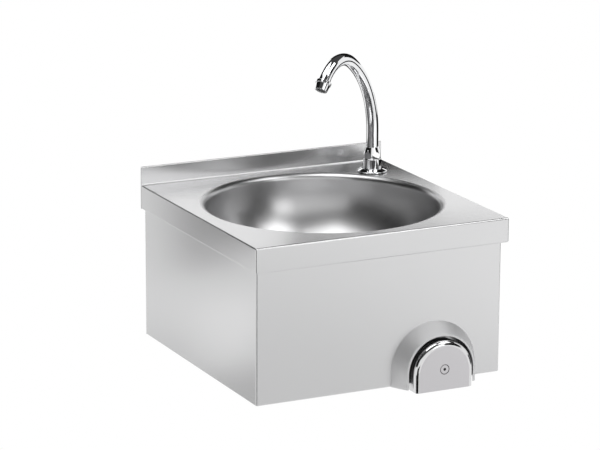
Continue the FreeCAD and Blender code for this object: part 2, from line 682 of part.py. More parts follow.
def spout_o_rings():
    """Two seals in the foot's grooves."""
    return [seal_ring(SPOUT_R - O_RING_R, O_RING_R, on_tap(FOOT_BOTTOM + height), UP)
            for height in O_RING_LEVELS]


def spout_snap_ring():
    """Split ring that holds the tube down under the gland nut."""
    ring = pipe(RING_R, SPOUT_R - RING_GROOVE, on_tap(RING_BOTTOM), on_tap(RING_BOTTOM + RING_W))
    middle = on_tap(RING_BOTTOM)
    slit = box(middle.x, middle.x + 2 * RING_R, middle.y - RING_SLIT / 2, middle.y + RING_SLIT / 2,
               middle.z - 1, middle.z + RING_W + 1)
    return ring.cut(slit)


def outlet_turned(points):
    """Solid of revolution about the outlet; heights are counted from the tube's end."""
    at, along = spout_end()
    return turned(points, at, along)


def aerator_adapter():
    """Threaded collar brazed over the end of the tube."""
    bore_r, rim = SPOUT_R - SPOUT_WALL, COLLAR_RIM
    return outlet_turned([(bore_r, 0), (COLLAR_R - rim, 0), (COLLAR_R, rim),
                          (COLLAR_R, COLLAR_L - rim), (COLLAR_R - rim, COLLAR_L), (bore_r, COLLAR_L)])


def aerator_housing():
    """Conical outlet that screws into the collar."""
    end = COLLAR_L + OUTLET_L
    return outlet_turned([(OUTLET_BORE_R, COLLAR_L), (OUTLET_TOP_R, COLLAR_L), (OUTLET_END_R, end),
                          (OUTLET_BORE_R - OUTLET_LIP, end), (OUTLET_BORE_R - OUTLET_LIP, end - OUTLET_LIP),
                          (OUTLET_BORE_R, end - OUTLET_LIP)])


def aerator_insert():
    """Ringed insert that breaks up the jet."""
    end = COLLAR_L + OUTLET_L - OUTLET_LIP
    start = end - INSERT_L
    plate = start + INSERT_RIB_T
    shapes = [outlet_turned([(0, start), (OUTLET_BORE_R, start), (OUTLET_BORE_R, plate), (0, plate)])]
    for outer in (OUTLET_BORE_R,) + INSERT_RINGS:
        inner = outer - INSERT_RIB_T
        shapes.append(outlet_turned([(outer, start), (outer, end), (inner, end), (inner, start)]))
    return joined(shapes)


def aerator_washer():
    """Flat washer between the insert and the collar."""
    end = COLLAR_L + OUTLET_L - OUTLET_LIP - INSERT_L
    start = end - WASHER_T
    return outlet_turned([(WASHER_BORE_R, start), (OUTLET_BORE_R, start),
                          (OUTLET_BORE_R, end), (WASHER_BORE_R, end)])


# ------------------------------------------------------------------ cowl

def arch(radius, along, bottom):
    """D-shaped wire round the button's centre: half circle above, straight legs below."""
    centre = V(KNEE_X, PANEL_Y + along, ARCH_Z)
    left, right, top = centre - RIGHT * radius, centre + RIGHT * radius, centre + UP * radius
    drop = UP * (ARCH_Z - bottom)
    return Part.Wire([
        Part.Arc(right, top, left).toShape(),
        Part.LineSegment(left, left - drop).toShape(),
        Part.LineSegment(left - drop, right - drop).toShape(),
        Part.LineSegment(right - drop, right).toShape(),
    ])


def arch_block(radius, start, end, bottom):
    """Straight block of the D shape between two distances from the panel."""
    return Part.Face(arch(radius, start, bottom)).extrude(TO_WALL * (end - start))


def front_arch_edges(shape, y):
    """Edges of the arch and its legs in the plane at y, without the bottom edge."""
    def on_front(b):
        return abs(b.YMin - y) < 0.01 and abs(b.YMax - y) < 0.01 and b.ZLength > 1
    return [edge for edge in shape.Edges if on_front(edge.BoundBox)]


def tapered_arch(foot_r, top_r, top, bottom):
    """Block of the D shape that narrows from the panel to a distance in front of it."""
    return Part.makeLoft([arch(foot_r, 0, bottom), arch(top_r, top, bottom)], True, True)


def button_hood():
    """Tapered cowl, open below, with a rounded mouth and a flange on the panel."""
    shell = tapered_arch(HOOD_FOOT_R, HOOD_TOP_R, -HOOD_DEPTH, BOX_BOTTOM)
    shell = shell.makeFillet(HOOD_LIP_FILLET, front_arch_edges(shell, PANEL_Y - HOOD_DEPTH))
    below = BOX_BOTTOM - 1
    cavity_top = -HOOD_DEPTH + HOOD_WALL
    cavity = tapered_arch(HOOD_FOOT_R - HOOD_WALL, HOOD_TOP_R - HOOD_WALL, cavity_top, below)
    cavity = cavity.makeFillet(HOOD_LIP_FILLET - HOOD_WALL, front_arch_edges(cavity, PANEL_Y + cavity_top))
    mouth = arch_block(HOOD_MOUTH_R, -HOOD_DEPTH - 1, cavity_top + 1, below)
    flange = arch_block(HOOD_FOOT_R - HOOD_WALL / 2, -HOOD_WALL, 0, BOX_BOTTOM)
    flange = flange.common(shell).cut(arch_block(HOOD_FOOT_R - HOOD_FLANGE_W, -HOOD_WALL - 1, 1, below))
    return joined([shell.cut(cavity).cut(mouth), flange])


def stud_places():
    """Centres of the weld studs on the panel's front face."""
    radius = HOOD_FOOT_R - (HOOD_FLANGE_W + HOOD_WALL) / 2
    centre = V(KNEE_X, PANEL_Y, ARCH_Z)
    return [centre + V(cos(radians(a)), 0, sin(radians(a))) * radius for a in STUD_ANGLES]


def hood_studs():
    """Weld studs on the cowl's flange."""
    return [cylinder(STUD_R, point, point + TO_WALL * STUD_L) for point in stud_places()]


def hood_nuts():
    """Nuts on the studs, behind the panel."""
    behind = [point + TO_WALL * SHEET for point in stud_places()]
    return [nut(STUD_NUT_FLATS, STUD_R, point, point + TO_WALL * STUD_NUT_H) for point in behind]


# ------------------------------------------------------------------ knee button and valve

def on_valve(along, right=0.0):
    """Point on the valve's axis, counted from the panel's front face."""
    return V(KNEE_X + right, PANEL_Y + along, ROD_Z)


def screw_cone():
    """Countersunk head of the button's screw, just below the button's face."""
    at = on_valve(BUTTON_FRONT + SCREW_RECESS)
    return Part.makeCone(SCREW_HEAD_R, SCREW_R, SCREW_HEAD_H, at, TO_WALL)


def knee_button():
    """D-shaped cup with a rounded edge and a welded boss for the push rod."""
    back = BUTTON_FRONT + BUTTON_DEPTH
    cup = arch_block(BUTTON_R, BUTTON_FRONT, back, BUTTON_FOOT)
    cup = fillet_where(cup, BUTTON_CORNER_R, lambda b: level(b, BUTTON_FOOT) and b.XLength < 0.01)
    cup = cup.makeFillet(BUTTON_EDGE_R, front_arch_edges_above(cup, PANEL_Y + BUTTON_FRONT))
    inner_front = BUTTON_FRONT + BUTTON_WALL
    hollow = arch_block(BUTTON_R - BUTTON_WALL, inner_front, back + 1, BUTTON_FOOT + BUTTON_WALL)
    hollow = hollow.makeFillet(BUTTON_EDGE_R - BUTTON_WALL, front_arch_edges(hollow, PANEL_Y + inner_front))
    boss = cylinder(BOSS_R, on_valve(inner_front - BUTTON_WALL / 2), on_valve(BOSS_BACK))
    recess = cylinder(SCREW_HEAD_R, on_valve(BUTTON_FRONT - 1), on_valve(BUTTON_FRONT + SCREW_RECESS))
    hole = cylinder(SCREW_R, on_valve(BUTTON_FRONT), on_valve(BOSS_BACK + 1))
    return joined([cup.cut(hollow), boss]).cut([screw_cone(), recess, hole])


def front_arch_edges_above(shape, y):
    """The arch and straight leg edges at y, without the small lower corners."""
    return [edge for edge in front_arch_edges(shape, y) if edge.BoundBox.ZLength > BUTTON_CORNER_R * 2]


def button_screw():
    """Countersunk socket screw through the button into the push rod."""
    front = BUTTON_FRONT + SCREW_RECESS
    shank = cylinder(SCREW_R, on_valve(front + SCREW_HEAD_H), on_valve(front + SCREW_L))
    socket = hexagon(SOCKET_FLATS, on_valve(front - 1), on_valve(front + SOCKET_H))
    return joined([screw_cone(), shank]).cut(socket)


def push_rod():
    """Stepped rod from the button to the valve disc."""
    tip = DISC_NUT_POS + DISC_NUT_H + 1
    thick = cylinder(ROD_R, on_valve(BOSS_BACK), on_valve(ROD_SHOULDER))
    stem = cylinder(STEM_R, on_valve(ROD_SHOULDER), on_valve(DISC_POS))
    tail = cylinder(STEM_R - 1, on_valve(DISC_POS), on_valve(tip))
    bore = cylinder(SCREW_R, on_valve(BOSS_BACK - 1), on_valve(BUTTON_FRONT + SCREW_RECESS + SCREW_L + 1))
    return joined([thick, stem, tail]).cut(bore)


def valve_disc():
    """Rubber disc that closes the seat."""
    return pipe(DISC_R, STEM_R - 1, on_valve(DISC_POS), on_valve(DISC_POS + DISC_T))


def disc_washer():
    """Washer that backs the disc and carries the spring."""
    front = DISC_WASHER_POS
    return pipe(DISC_WASHER_R, STEM_R - 1, on_valve(front), on_valve(front + DISC_WASHER_T))


def disc_nut():
    """Nut on the rod's tail."""
    return nut(DISC_NUT_FLATS, STEM_R - 1, on_valve(DISC_NUT_POS), on_valve(DISC_NUT_POS + DISC_NUT_H))


def valve_body():
    """Body screwed into the front panel, with a rod guide, a seat and two chambers."""
    shoulder = SHEET + VALVE_WASHER_T
    solids = [cylinder(NECK_R, on_valve(NECK_FRONT), on_valve(shoulder)),
              cylinder(VALVE_SHOULDER_R, on_valve(shoulder), on_valve(shoulder + VALVE_SHOULDER_T)),
              cylinder(VALVE_R, on_valve(shoulder + VALVE_SHOULDER_T), on_valve(VALVE_END)),
              cylinder(PORT_R, on_valve(PORT_POS), on_valve(PORT_POS, PORT_REACH))]
    bores = [cylinder(ROD_R + AXIS_FIT, on_valve(NECK_FRONT - 1), on_valve(GUIDE_END)),
             cylinder(CHAMBER_R, on_valve(GUIDE_END), on_valve(SEAT_POS)),
             cylinder(SEAT_HOLE_R, on_valve(SEAT_POS - 1), on_valve(SEAT_POS + SEAT_T + 1)),
             cylinder(REAR_CHAMBER_R, on_valve(SEAT_POS + SEAT_T), on_valve(VALVE_END + 1)),
             cylinder(PORT_BORE_R, on_valve(PORT_POS), on_valve(PORT_POS, PORT_REACH + 1)),
             pipe(ROD_R + 2 * ROD_SEAL_R, ROD_R - 1, on_valve(ROD_SEAL_POS - ROD_SEAL_R * 1.2),
                  on_valve(ROD_SEAL_POS + ROD_SEAL_R * 1.2))]
    return joined(solids).cut(bores)


def rod_seal():
    """Seal round the push rod."""
    half_fit = AXIS_FIT / 2
    return seal_ring(ROD_R + ROD_SEAL_R + half_fit, ROD_SEAL_R - half_fit, on_valve(ROD_SEAL_POS), TO_WALL)


def valve_washer():
    """Fibre washer behind the panel."""
    return pipe(VALVE_SHOULDER_R, NECK_R, on_valve(SHEET), on_valve(SHEET + VALVE_WASHER_T))


def valve_front_nut():
    """Nut that clamps the valve to the panel, under the cowl."""
    return nut(FRONT_NUT_FLATS, NECK_R, on_valve(-FRONT_NUT_H), on_valve(0))


def return_spring():
    """Compression spring as one unbroken wire on half-turn arcs."""
    start, rise = DISC_NUT_POS + SPRING_WIRE_R, TEE_SPIGOT_POS - DISC_NUT_POS - 2 * SPRING_WIRE_R
    halves = SPRING_TURNS * 2

    def at(half):
        return on_valve(start + rise * half / halves) + V(cos(half * pi), 0, sin(half * pi)) * SPRING_MEAN_R

    path = Part.Wire([Part.Arc(at(half), at(half + 0.5), at(half + 1)).toShape() for half in range(halves)])
    along = path.Edges[0].tangentAt(path.Edges[0].FirstParameter)
    across = along.cross(RIGHT).normalize()
    turns = [2 * pi * k / SEAL_SIDES for k in range(SEAL_SIDES + 1)]
    corners = [at(0) + (RIGHT * cos(turn) + across * sin(turn)) * SPRING_WIRE_R for turn in turns]
    section = Part.makePolygon(corners)
    print(f"return_spring: least gap between turns {rise / SPRING_TURNS - 2 * SPRING_WIRE_R:.2f} mm")
    return path.makePipeShell([section], True, False)


# ------------------------------------------------------------------ inlets

def inlet_tee():
    """Square bar screwed into the valve's end, with two stubs that point at the wall."""
    left, right = on_valve(TEE_POS, -INLET_SPREAD), on_valve(TEE_POS, INLET_SPREAD)
    bar = box(left.x - TEE_HALF, right.x + TEE_HALF, left.y - TEE_HALF, left.y + TEE_HALF,
              left.z - TEE_HALF, left.z + TEE_HALF)
    bar = bar.makeChamfer(TEE_CHAMFER, bar.Edges)
    solids = [cylinder(REAR_CHAMBER_R, on_valve(TEE_SPIGOT_POS), on_valve(VALVE_END)),
              cylinder(TEE_FLANGE_R, on_valve(VALVE_END), on_valve(VALVE_END + TEE_FLANGE_T)), bar]
    solids += [cylinder(STUB_R, end, end + TO_WALL * STUB_L) for end in (left, right)]
    bores = [cylinder(TEE_SPIGOT_BORE_R, on_valve(TEE_SPIGOT_POS - 1), on_valve(TEE_POS)),
             cylinder(TEE_BORE_R, left - RIGHT * TEE_BORE_R, right + RIGHT * TEE_BORE_R)]
    bores += [cylinder(STUB_BORE_R, end, end + TO_WALL * (STUB_L + 1)) for end in (left, right)]
    groove = pipe(REAR_CHAMBER_R + 1, REAR_CHAMBER_R - 2 * TEE_SEAL_R,
                  on_valve(VALVE_END - 5 * TEE_SEAL_R), on_valve(VALVE_END - 2 * TEE_SEAL_R))
    return joined(solids).cut(bores + [groove])


def tee_seal():
    """Seal between the tee's spigot and the valve."""
    middle = on_valve(VALVE_END - 3.5 * TEE_SEAL_R)
    return seal_ring(REAR_CHAMBER_R - TEE_SEAL_R, TEE_SEAL_R, middle, TO_WALL)


def check_valve(right):
    """Inlet with a hexagon, a G 1/2 thread and a bore for its cartridge."""
    start, collar = on_valve(CHECK_POS, right), on_valve(CHECK_POS + CHECK_HEX_L, right)
    hexagonal = nut(CHECK_FLATS, TEE_BORE_R, start, collar)
    points = [(TEE_BORE_R, 0), (INLET_THREAD_R, 0), (INLET_THREAD_R, INLET_THREAD_L - INLET_CHAMFER),
              (INLET_THREAD_R - INLET_CHAMFER, INLET_THREAD_L), (TEE_BORE_R, INLET_THREAD_L)]
    return joined([hexagonal, turned(points, collar, TO_WALL)])


def check_cartridges():
    """Non-return cartridges in the two inlets."""
    shapes = []
    for right in (-INLET_SPREAD, INLET_SPREAD):
        start = on_valve(CHECK_POS + 2, right)
        end = start + TO_WALL * CARTRIDGE_L
        middle = start + TO_WALL * CARTRIDGE_L / 2
        plate = cylinder(CARTRIDGE_R, middle, middle + TO_WALL)
        shapes.append(joined([pipe(CARTRIDGE_R, CARTRIDGE_BORE_R, start, end), plate]))
    return shapes


def inlet_filters():
    """Drilled filter discs at the mouths of the inlets."""
    shapes = []
    for right in (-INLET_SPREAD, INLET_SPREAD):
        end = on_valve(CHECK_POS + CHECK_HEX_L + INLET_THREAD_L - 2, right)
        disc = cylinder(CARTRIDGE_R, end - TO_WALL * FILTER_T, end)
        turns = [2 * pi * k / FILTER_HOLES for k in range(FILTER_HOLES)]
        spots = [end + V(cos(turn), 0, sin(turn)) * FILTER_RING_R for turn in turns]
        holes = [cylinder(FILTER_HOLE_R, spot - TO_WALL * FILTER_T * 2, spot + TO_WALL) for spot in spots]
        shapes.append(disc.cut(holes))
    return shapes


# ------------------------------------------------------------------ hose

def outlet_elbow():
    """Elbow on the valve's outlet port, which turns the water to the back."""
    corner = on_valve(PORT_POS, ELBOW_X)
    start, end = on_valve(PORT_POS, PORT_REACH), corner + TO_WALL * ELBOW_LEG
    tip = end + TO_WALL * HOSE_THREAD_L
    solids = [cylinder(ELBOW_R, start, corner), Part.makeSphere(ELBOW_R, corner),
              cylinder(ELBOW_R, corner, end), cylinder(HOSE_THREAD_R, end, tip)]
    bores = [cylinder(PORT_BORE_R, start - RIGHT, corner), Part.makeSphere(PORT_BORE_R, corner),
             cylinder(PORT_BORE_R, corner, tip + TO_WALL)]
    collar = hexagon(2 * ELBOW_R + 2, start, start + RIGHT * ELBOW_R)
    return joined(solids + [collar]).cut(bores)


def hose_start():
    """Face of the elbow's thread, where the first hose washer lies."""
    return on_valve(PORT_POS + ELBOW_LEG + HOSE_THREAD_L, ELBOW_X)


def hose_finish():
    """Face of the tap's tail, where the second hose washer lies."""
    return on_tap(SHANK_BOTTOM - HOSE_THREAD_L)


def hose_route():
    """Corners of the hose's route from the elbow to the tap."""
    first = hose_start() + TO_WALL * HOSE_WASHER_T
    last = hose_finish() - UP * HOSE_WASHER_T
    bend_1 = first + TO_WALL * HOSE_FIRST_RUN
    swing_x, swing_y = HOSE_SWING
    bend_2 = bend_1 + V(swing_x, swing_y, -HOSE_SAG)
    turn_up = last - UP * HOSE_LAST_RUN
    heel_y, heel_z = HOSE_HEEL
    bend_3 = V(last.x, last.y - heel_y, bend_2.z + heel_z)
    return [first, bend_1, bend_2, bend_3, turn_up, last]


def routed(points):
    """Wire of straight runs joined by tangent arcs, and its length; prints the radii."""
    edges, here, length = [], points[0], 0.0
    for before, corner, after in zip(points, points[1:], points[2:]):
        back, ahead = (before - corner).normalize(), (after - corner).normalize()
        half_turn = (pi - back.getAngle(ahead)) / 2
        reach = 0.45 * min((corner - before).Length, (after - corner).Length)
        radius = reach / tan(half_turn)
        start, end = corner + back * reach, corner + ahead * reach
        centre_way = (back + ahead).normalize()
        middle = corner + centre_way * (radius / cos(half_turn) - radius)
        edges += [Part.LineSegment(here, start).toShape(), Part.Arc(start, middle, end).toShape()]
        length += (start - here).Length + 2 * half_turn * radius
        here = end
        print(f"hose bend: radius {radius:.0f} mm, turn {degrees(2 * half_turn):.0f} degrees")
    edges.append(Part.LineSegment(here, points[-1]).toShape())
    return Part.Wire(edges), length + (points[-1] - here).Length


def outlet_hose():
    """Braided hose, held at both ends, with its bore."""
    path, length = routed(hose_route())
    hose = swept(path, HOSE_R).cut(swept(path, HOSE_BORE_R))
    share = hose.Volume / (pi * (HOSE_R ** 2 - HOSE_BORE_R ** 2) * length)
    print(f"outlet_hose: {length:.0f} mm long, volume is {share:.4f} of section times length")
    return hose


def hose_ends():
    """Each end of the hose: the face it seals on and the direction away from it."""
    return [(hose_start(), TO_WALL), (hose_finish(), -UP)]


def hose_washers():
    """Seals between the hose's ends and the threads."""
    return [pipe(HOSE_THREAD_R - 0.5, HOSE_BORE_R, face, face + away * HOSE_WASHER_T)
            for face, away in hose_ends()]


def hose_nuts():
    """Swivel nuts on both ends of the hose."""
    nuts = []
    for face, away in hose_ends():
        start, end = face - away * (HOSE_THREAD_L - 3), face + away * (HOSE_NUT_L - HOSE_THREAD_L + 3)
        body = nut(HOSE_NUT_FLATS, HOSE_R, start, end)
        nuts.append(body.cut(cylinder(HOSE_THREAD_R, start - away, face + away * HOSE_WASHER_T)))
    return nuts


def hose_ferrules():
    """Crimped sleeves behind the nuts."""
    sleeves = []
    for face, away in hose_ends():
        start = face + away * (HOSE_NUT_L - HOSE_THREAD_L + 3)
        sleeves.append(pipe(HOSE_R + FERRULE_T, HOSE_R, start, start + away * FERRULE_L))
    return sleeves


# ------------------------------------------------------------------ output

NODES = {
    "deck": deck,
    "bowl": bowl,
    "cabinet_skirt": cabinet_skirt,
    "waste_grid": waste_grid,
    "waste_screw": waste_screw,
    "waste_top_seal": waste_top_seal,
    "waste_bottom_seal": waste_bottom_seal,
    "waste_body": waste_body,
    "tap_gasket": tap_gasket,
    "tap_rosette": tap_rosette,
    "tap_column": tap_column,
    "gland_nut": gland_nut,
    "gland_washer": gland_washer,
    "tap_clamp_washer": tap_clamp_washer,
    "tap_backnut": tap_backnut,
    "spout_tube": spout_tube,
    "spout_foot": spout_foot,
    "spout_o_rings": spout_o_rings,
    "spout_snap_ring": spout_snap_ring,
    "aerator_adapter": aerator_adapter,
    "aerator_housing": aerator_housing,
    "aerator_insert": aerator_insert,
    "aerator_washer": aerator_washer,
    "button_hood": button_hood,
    "hood_studs": hood_studs,
    "hood_nuts": hood_nuts,
    "knee_button": knee_button,
    "button_screw": button_screw,
    "push_rod": push_rod,
    "valve_disc": valve_disc,
    "disc_washer": disc_washer,
    "disc_nut": disc_nut,
    "valve_body": valve_body,
    "rod_seal": rod_seal,
    "valve_washer": valve_washer,
    "valve_front_nut": valve_front_nut,
    "return_spring": return_spring,
    "inlet_tee": inlet_tee,
    "tee_seal": tee_seal,
    "check_valve_hot": lambda: check_valve(-INLET_SPREAD),
    "check_valve_cold": lambda: check_valve(INLET_SPREAD),
    "check_cartridges": check_cartridges,
    "inlet_filters": inlet_filters,
    "outlet_elbow": outlet_elbow,
    "outlet_hose": outlet_hose,
    "hose_washers": hose_washers,
    "hose_nuts": hose_nuts,
    "hose_ferrules": hose_ferrules,
}


def main():
    """Build every node and write it to parts/."""
    os.makedirs("parts", exist_ok=True)
    for name, build in NODES.items():
        made = build()
        shape = Part.makeCompound(made) if isinstance(made, list) else made
        volume = shape.Volume / 1000
        print(f"{name}: {len(shape.Solids)} solid(s), {volume:.2f} cm3, valid {shape.isValid()}")
        shape.exportStep(f"parts/{name}.step")


main()
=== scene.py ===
"""Looks of a wall-hung stainless steel hand wash sink with a knee button.

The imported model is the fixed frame. Each class below builds one sub-assembly of the sink
with Blender's own modelling operators, dresses it with its finish and sets it on the body
that it moves with. Every length is in metres: +X to the user's right, +Y into the wall,
+Z up, and the origin is the centre of the four wall holes.
"""

import logging
import math
from contextlib import contextmanager
from dataclasses import dataclass, field
from enum import Enum
from typing import Callable, ClassVar, Iterator, Sequence

import bmesh
import bpy
from mathutils import Matrix, Vector

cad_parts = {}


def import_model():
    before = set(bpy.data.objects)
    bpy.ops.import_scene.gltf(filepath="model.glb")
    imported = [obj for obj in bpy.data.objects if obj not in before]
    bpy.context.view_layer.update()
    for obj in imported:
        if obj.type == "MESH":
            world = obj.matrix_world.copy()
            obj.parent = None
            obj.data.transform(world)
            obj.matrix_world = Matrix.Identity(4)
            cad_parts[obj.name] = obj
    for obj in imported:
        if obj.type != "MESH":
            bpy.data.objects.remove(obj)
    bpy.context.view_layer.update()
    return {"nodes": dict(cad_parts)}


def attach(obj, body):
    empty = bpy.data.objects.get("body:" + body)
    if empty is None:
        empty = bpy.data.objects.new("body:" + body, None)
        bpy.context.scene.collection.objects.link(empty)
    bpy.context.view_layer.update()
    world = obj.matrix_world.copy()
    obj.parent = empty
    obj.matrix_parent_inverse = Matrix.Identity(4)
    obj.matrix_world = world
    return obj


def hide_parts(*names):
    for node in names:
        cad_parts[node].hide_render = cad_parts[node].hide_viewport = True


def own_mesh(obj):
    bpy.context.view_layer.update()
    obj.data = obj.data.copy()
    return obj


log = logging.getLogger("sink")

Piece = bpy.types.Object
Outline = list[tuple[float, float]]
Corners = Sequence[tuple[float, ...]]
Colour = tuple[float, float, float]
Socket = bpy.types.NodeSocket
Fed = dict[int | str, object]
FaceTest = Callable[[bmesh.types.BMFace], bool]
UP = Vector((0.0, 0.0, 1.0))
RIGHT = Vector((1.0, 0.0, 0.0))
TO_WALL = Vector((0.0, 1.0, 0.0))
TURN = 2 * math.pi
HEXAGON = math.cos(math.pi / 6)  # half the flats over the corner's radius
WELD = 2e-6  # corners closer than this are one
SAME = 1e-7  # ends of an outline closer than this are one
REACH = 0.01  # how far a cutter goes past what it cuts
SMALL_PIPE, PIPE, WIDE_PIPE = 0.001337, 0.001814, 0.002309  # pitches of the pipe threads


class Body(Enum):
    """The bodies that pieces ride on."""

    CABINET = "cabinet"
    SPOUT = "spout"
    BUTTON = "button"


class Slot(Enum):
    """The record's material slots."""

    SATIN = "satin_steel"
    BUTTON = "button_steel"
    CHROME = "tap_chrome"
    BRASS = "bare_brass"
    RUBBER = "seal_rubber"
    SLIP = "slip_plastic"
    INSERT = "insert_plastic"
    WASTE = "waste_plastic"
    BRAID = "hose_braid"


class Grain(Enum):
    """How the brushing runs over a metal piece."""

    ACROSS = "left to right"
    UPRIGHT = "up and down"
    ROUND = "in rings about an upright axis"
    NONE = "no direction"


# ---------------------------------------------------------------- modelling steps


def deselect() -> None:
    """Leave nothing selected."""
    bpy.ops.object.select_all(action="DESELECT")


def activate(piece: Piece) -> None:
    """Select one piece alone and make it the active one.

    Args:
        piece: The piece.
    """
    deselect()
    piece.select_set(True)
    bpy.context.view_layer.objects.active = piece


@contextmanager
def editing(piece: Piece) -> Iterator[None]:
    """Work on one piece in edit mode, with all of it selected at the start.

    Args:
        piece: The piece to edit.
    """
    activate(piece)
    bpy.ops.object.mode_set(mode="EDIT")
    bpy.ops.mesh.select_mode(type="VERT")
    bpy.ops.mesh.select_all(action="SELECT")
    try:
        yield
    finally:
        bpy.ops.object.mode_set(mode="OBJECT")


def pick(kind: str, test: Callable[[object], bool]) -> None:
    """Select the edges or faces of the edited piece that pass a test.

    Args:
        kind: EDGE or FACE.
        test: Says whether an element is taken.
    """
    bpy.ops.mesh.select_mode(type=kind)
    bpy.ops.mesh.select_all(action="DESELECT")
    data = bpy.context.edit_object.data
    mesh = bmesh.from_edit_mesh(data)
    for element in mesh.edges if kind == "EDGE" else mesh.faces:
        if test(element):
            element.select_set(True)
    mesh.select_flush_mode()
    bmesh.update_edit_mesh(data)


def draw_out(way: Sequence[float]) -> None:
    """Extrude the selected edges, which may leave the new ones in place to be scaled."""
    bpy.ops.mesh.extrude_edges_move(TRANSFORM_OT_translate={"value": way})


def middle(edge: bmesh.types.BMEdge) -> Vector:
    """Middle point of an edge."""
    return (edge.verts[0].co + edge.verts[1].co) / 2


def way_of(edge: bmesh.types.BMEdge) -> Vector:
    """Direction of an edge."""
    return (edge.verts[1].co - edge.verts[0].co).normalized()


def lies_flat(edge: bmesh.types.BMEdge) -> bool:
    """Whether an edge is level."""
    return abs(way_of(edge).z) < 0.1


def near(value: float, wanted: float, slack: float = 2e-5) -> bool:
    """Whether two lengths are the same for modelling."""
    return abs(value - wanted) < slack


def sweep(steps: int, angle: float, centre: Vector, axis: Vector) -> None:
    """Turn the selected edges about an axis by the right-hand rule, leaving faces behind.

    Args:
        steps: Faces along the turn.
        angle: Angle of the turn, in radians.
        centre: Point on the axis.
        axis: Direction of the axis.
    """
    bpy.ops.mesh.spin(steps=steps, angle=angle, center=centre, axis=-Vector(axis))


def tidy_mesh() -> None:
    """Merge doubles of the edited piece and turn its faces outwards."""
    bpy.ops.mesh.select_mode(type="VERT")
    bpy.ops.mesh.select_all(action="SELECT")
    bpy.ops.mesh.remove_doubles(threshold=WELD)
    bpy.ops.mesh.normals_make_consistent(inside=False)


def arc(
    centre: tuple[float, float], radius: float, start: float, end: float, steps: int
) -> Outline:
    """Points along an arc of an outline.

    Args:
        centre: Middle of the arc.
        radius: Radius of the arc.
        start: First angle in degrees.
        end: Last angle in degrees.
        steps: Number of straight pieces.

    Returns:
        The points, first and last included.
    """
    angles = [math.radians(start + (end - start) * k / steps) for k in range(steps + 1)]
    return [(centre[0] + radius * math.cos(a), centre[1] + radius * math.sin(a)) for a in angles]


def eased(corners: Corners, steps: int = 4) -> Outline:
    """Closed outline whose corners are rounded.

    Args:
        corners: Points as (across, along), with the corner's radius as a third value
            where it is rounded.
        steps: Straight pieces in each rounded corner.

    Returns:
        The outline's points.
    """
    made: Outline = []
    for k, corner in enumerate(corners):
        here = Vector(corner[:2])
        if len(corner) < 3:
            made.append((here.x, here.y))
            continue
        back = (Vector(corners[k - 1][:2]) - here).normalized()
        ahead = (Vector(corners[(k + 1) % len(corners)][:2]) - here).normalized()
        half = back.angle(ahead) / 2
        centre = here + (back + ahead).normalized() * corner[2] / math.sin(half)
        spoke = here + back * corner[2] / math.tan(half) - centre
        side = 1 if back.x * ahead.y - back.y * ahead.x < 0 else -1
        for step in range(steps + 1):
            turn = side * (math.pi - 2 * half) * step / steps
            x = spoke.x * math.cos(turn) - spoke.y * math.sin(turn)
            y = spoke.x * math.sin(turn) + spoke.y * math.cos(turn)
            made.append((centre.x + x, centre.y + y))
    return made


def thread(radius: float, start: float, end: float, pitch: float) -> Outline:
    """Crests and roots of a thread, as an outline along its bolt.

    Args:
        radius: Radius at the crests.
        start: Where the thread begins along the axis.
        end: Where it ends, on either side of the start.
        pitch: Distance between crests.

    Returns:
        The outline's points from start to end.
    """
    count = max(1, int(abs(end - start) / pitch))
    step, root = (end - start) / count, radius - pitch * 0.55
    made: Outline = []
    for k in range(count):
        foot = start + step * k
        made += [(root, foot + step * 0.08), (radius, foot + step * 0.42)]
        made += [(radius, foot + step * 0.58), (root, foot + step * 0.92)]
    return made


def named(piece: Piece, name: str) -> Piece:
    """Give a piece and its mesh one name.

    Args:
        piece: The piece.
        name: Its new name.

    Returns:
        The same piece.
    """
    piece.name = name
    piece.data.name = name
    return piece


def chain(name: str, spots: Sequence[Vector]) -> Piece:
    """Run of edges, grown point by point from one corner.

    Args:
        name: Name of the new piece.
        spots: The points in order.

    Returns:
        The piece, with its edges and no faces.
    """
    deselect()
    bpy.ops.mesh.primitive_plane_add(size=0.001)
    piece = named(bpy.context.object, name)
    with editing(piece):
        bpy.ops.mesh.merge(type="CENTER")
        bpy.ops.transform.translate(value=spots[0])
        for here, ahead in zip(spots, spots[1:]):
            bpy.ops.mesh.extrude_vertices_move(TRANSFORM_OT_translate={"value": ahead - here})
    return piece


def lathe(name: str, outline: Outline, at: Vector, axis: Vector = UP, steps: int = 96) -> Piece:
    """Turn an outline about an axis.

    Args:
        name: Name of the new piece.
        outline: Points as (distance from the axis, height along it). An outline that
            begins and ends on the axis closes itself there.
        at: Foot of the axis.
        axis: Direction of the axis.
        steps: Faces round the axis.

    Returns:
        The turned piece.
    """
    way = Vector(axis).normalized()
    seed = RIGHT if abs(way.x) < 0.9 else TO_WALL
    side = (seed - way * seed.dot(way)).normalized()
    spots = [at + side * across + way * along for across, along in outline]
    if outline[0][0] > 1e-9 or outline[-1][0] > 1e-9:
        spots.append(spots[0])
    piece = chain(name, spots)
    with editing(piece):
        bpy.ops.mesh.remove_doubles(threshold=SAME)
        sweep(steps, TURN, at, way)
        tidy_mesh()
    return piece


def prism(name: str, spots: Sequence[Vector], along: Vector) -> Piece:
    """Straight block over a flat outline.

    Args:
        name: Name of the new piece.
        spots: Corners of the outline.
        along: How far and where the outline is extruded.

    Returns:
        The closed block.
    """
    piece = chain(name, spots)
    with editing(piece):
        bpy.ops.mesh.edge_face_add()
        bpy.ops.mesh.extrude_region_move(TRANSFORM_OT_translate={"value": along})
        tidy_mesh()
    return piece


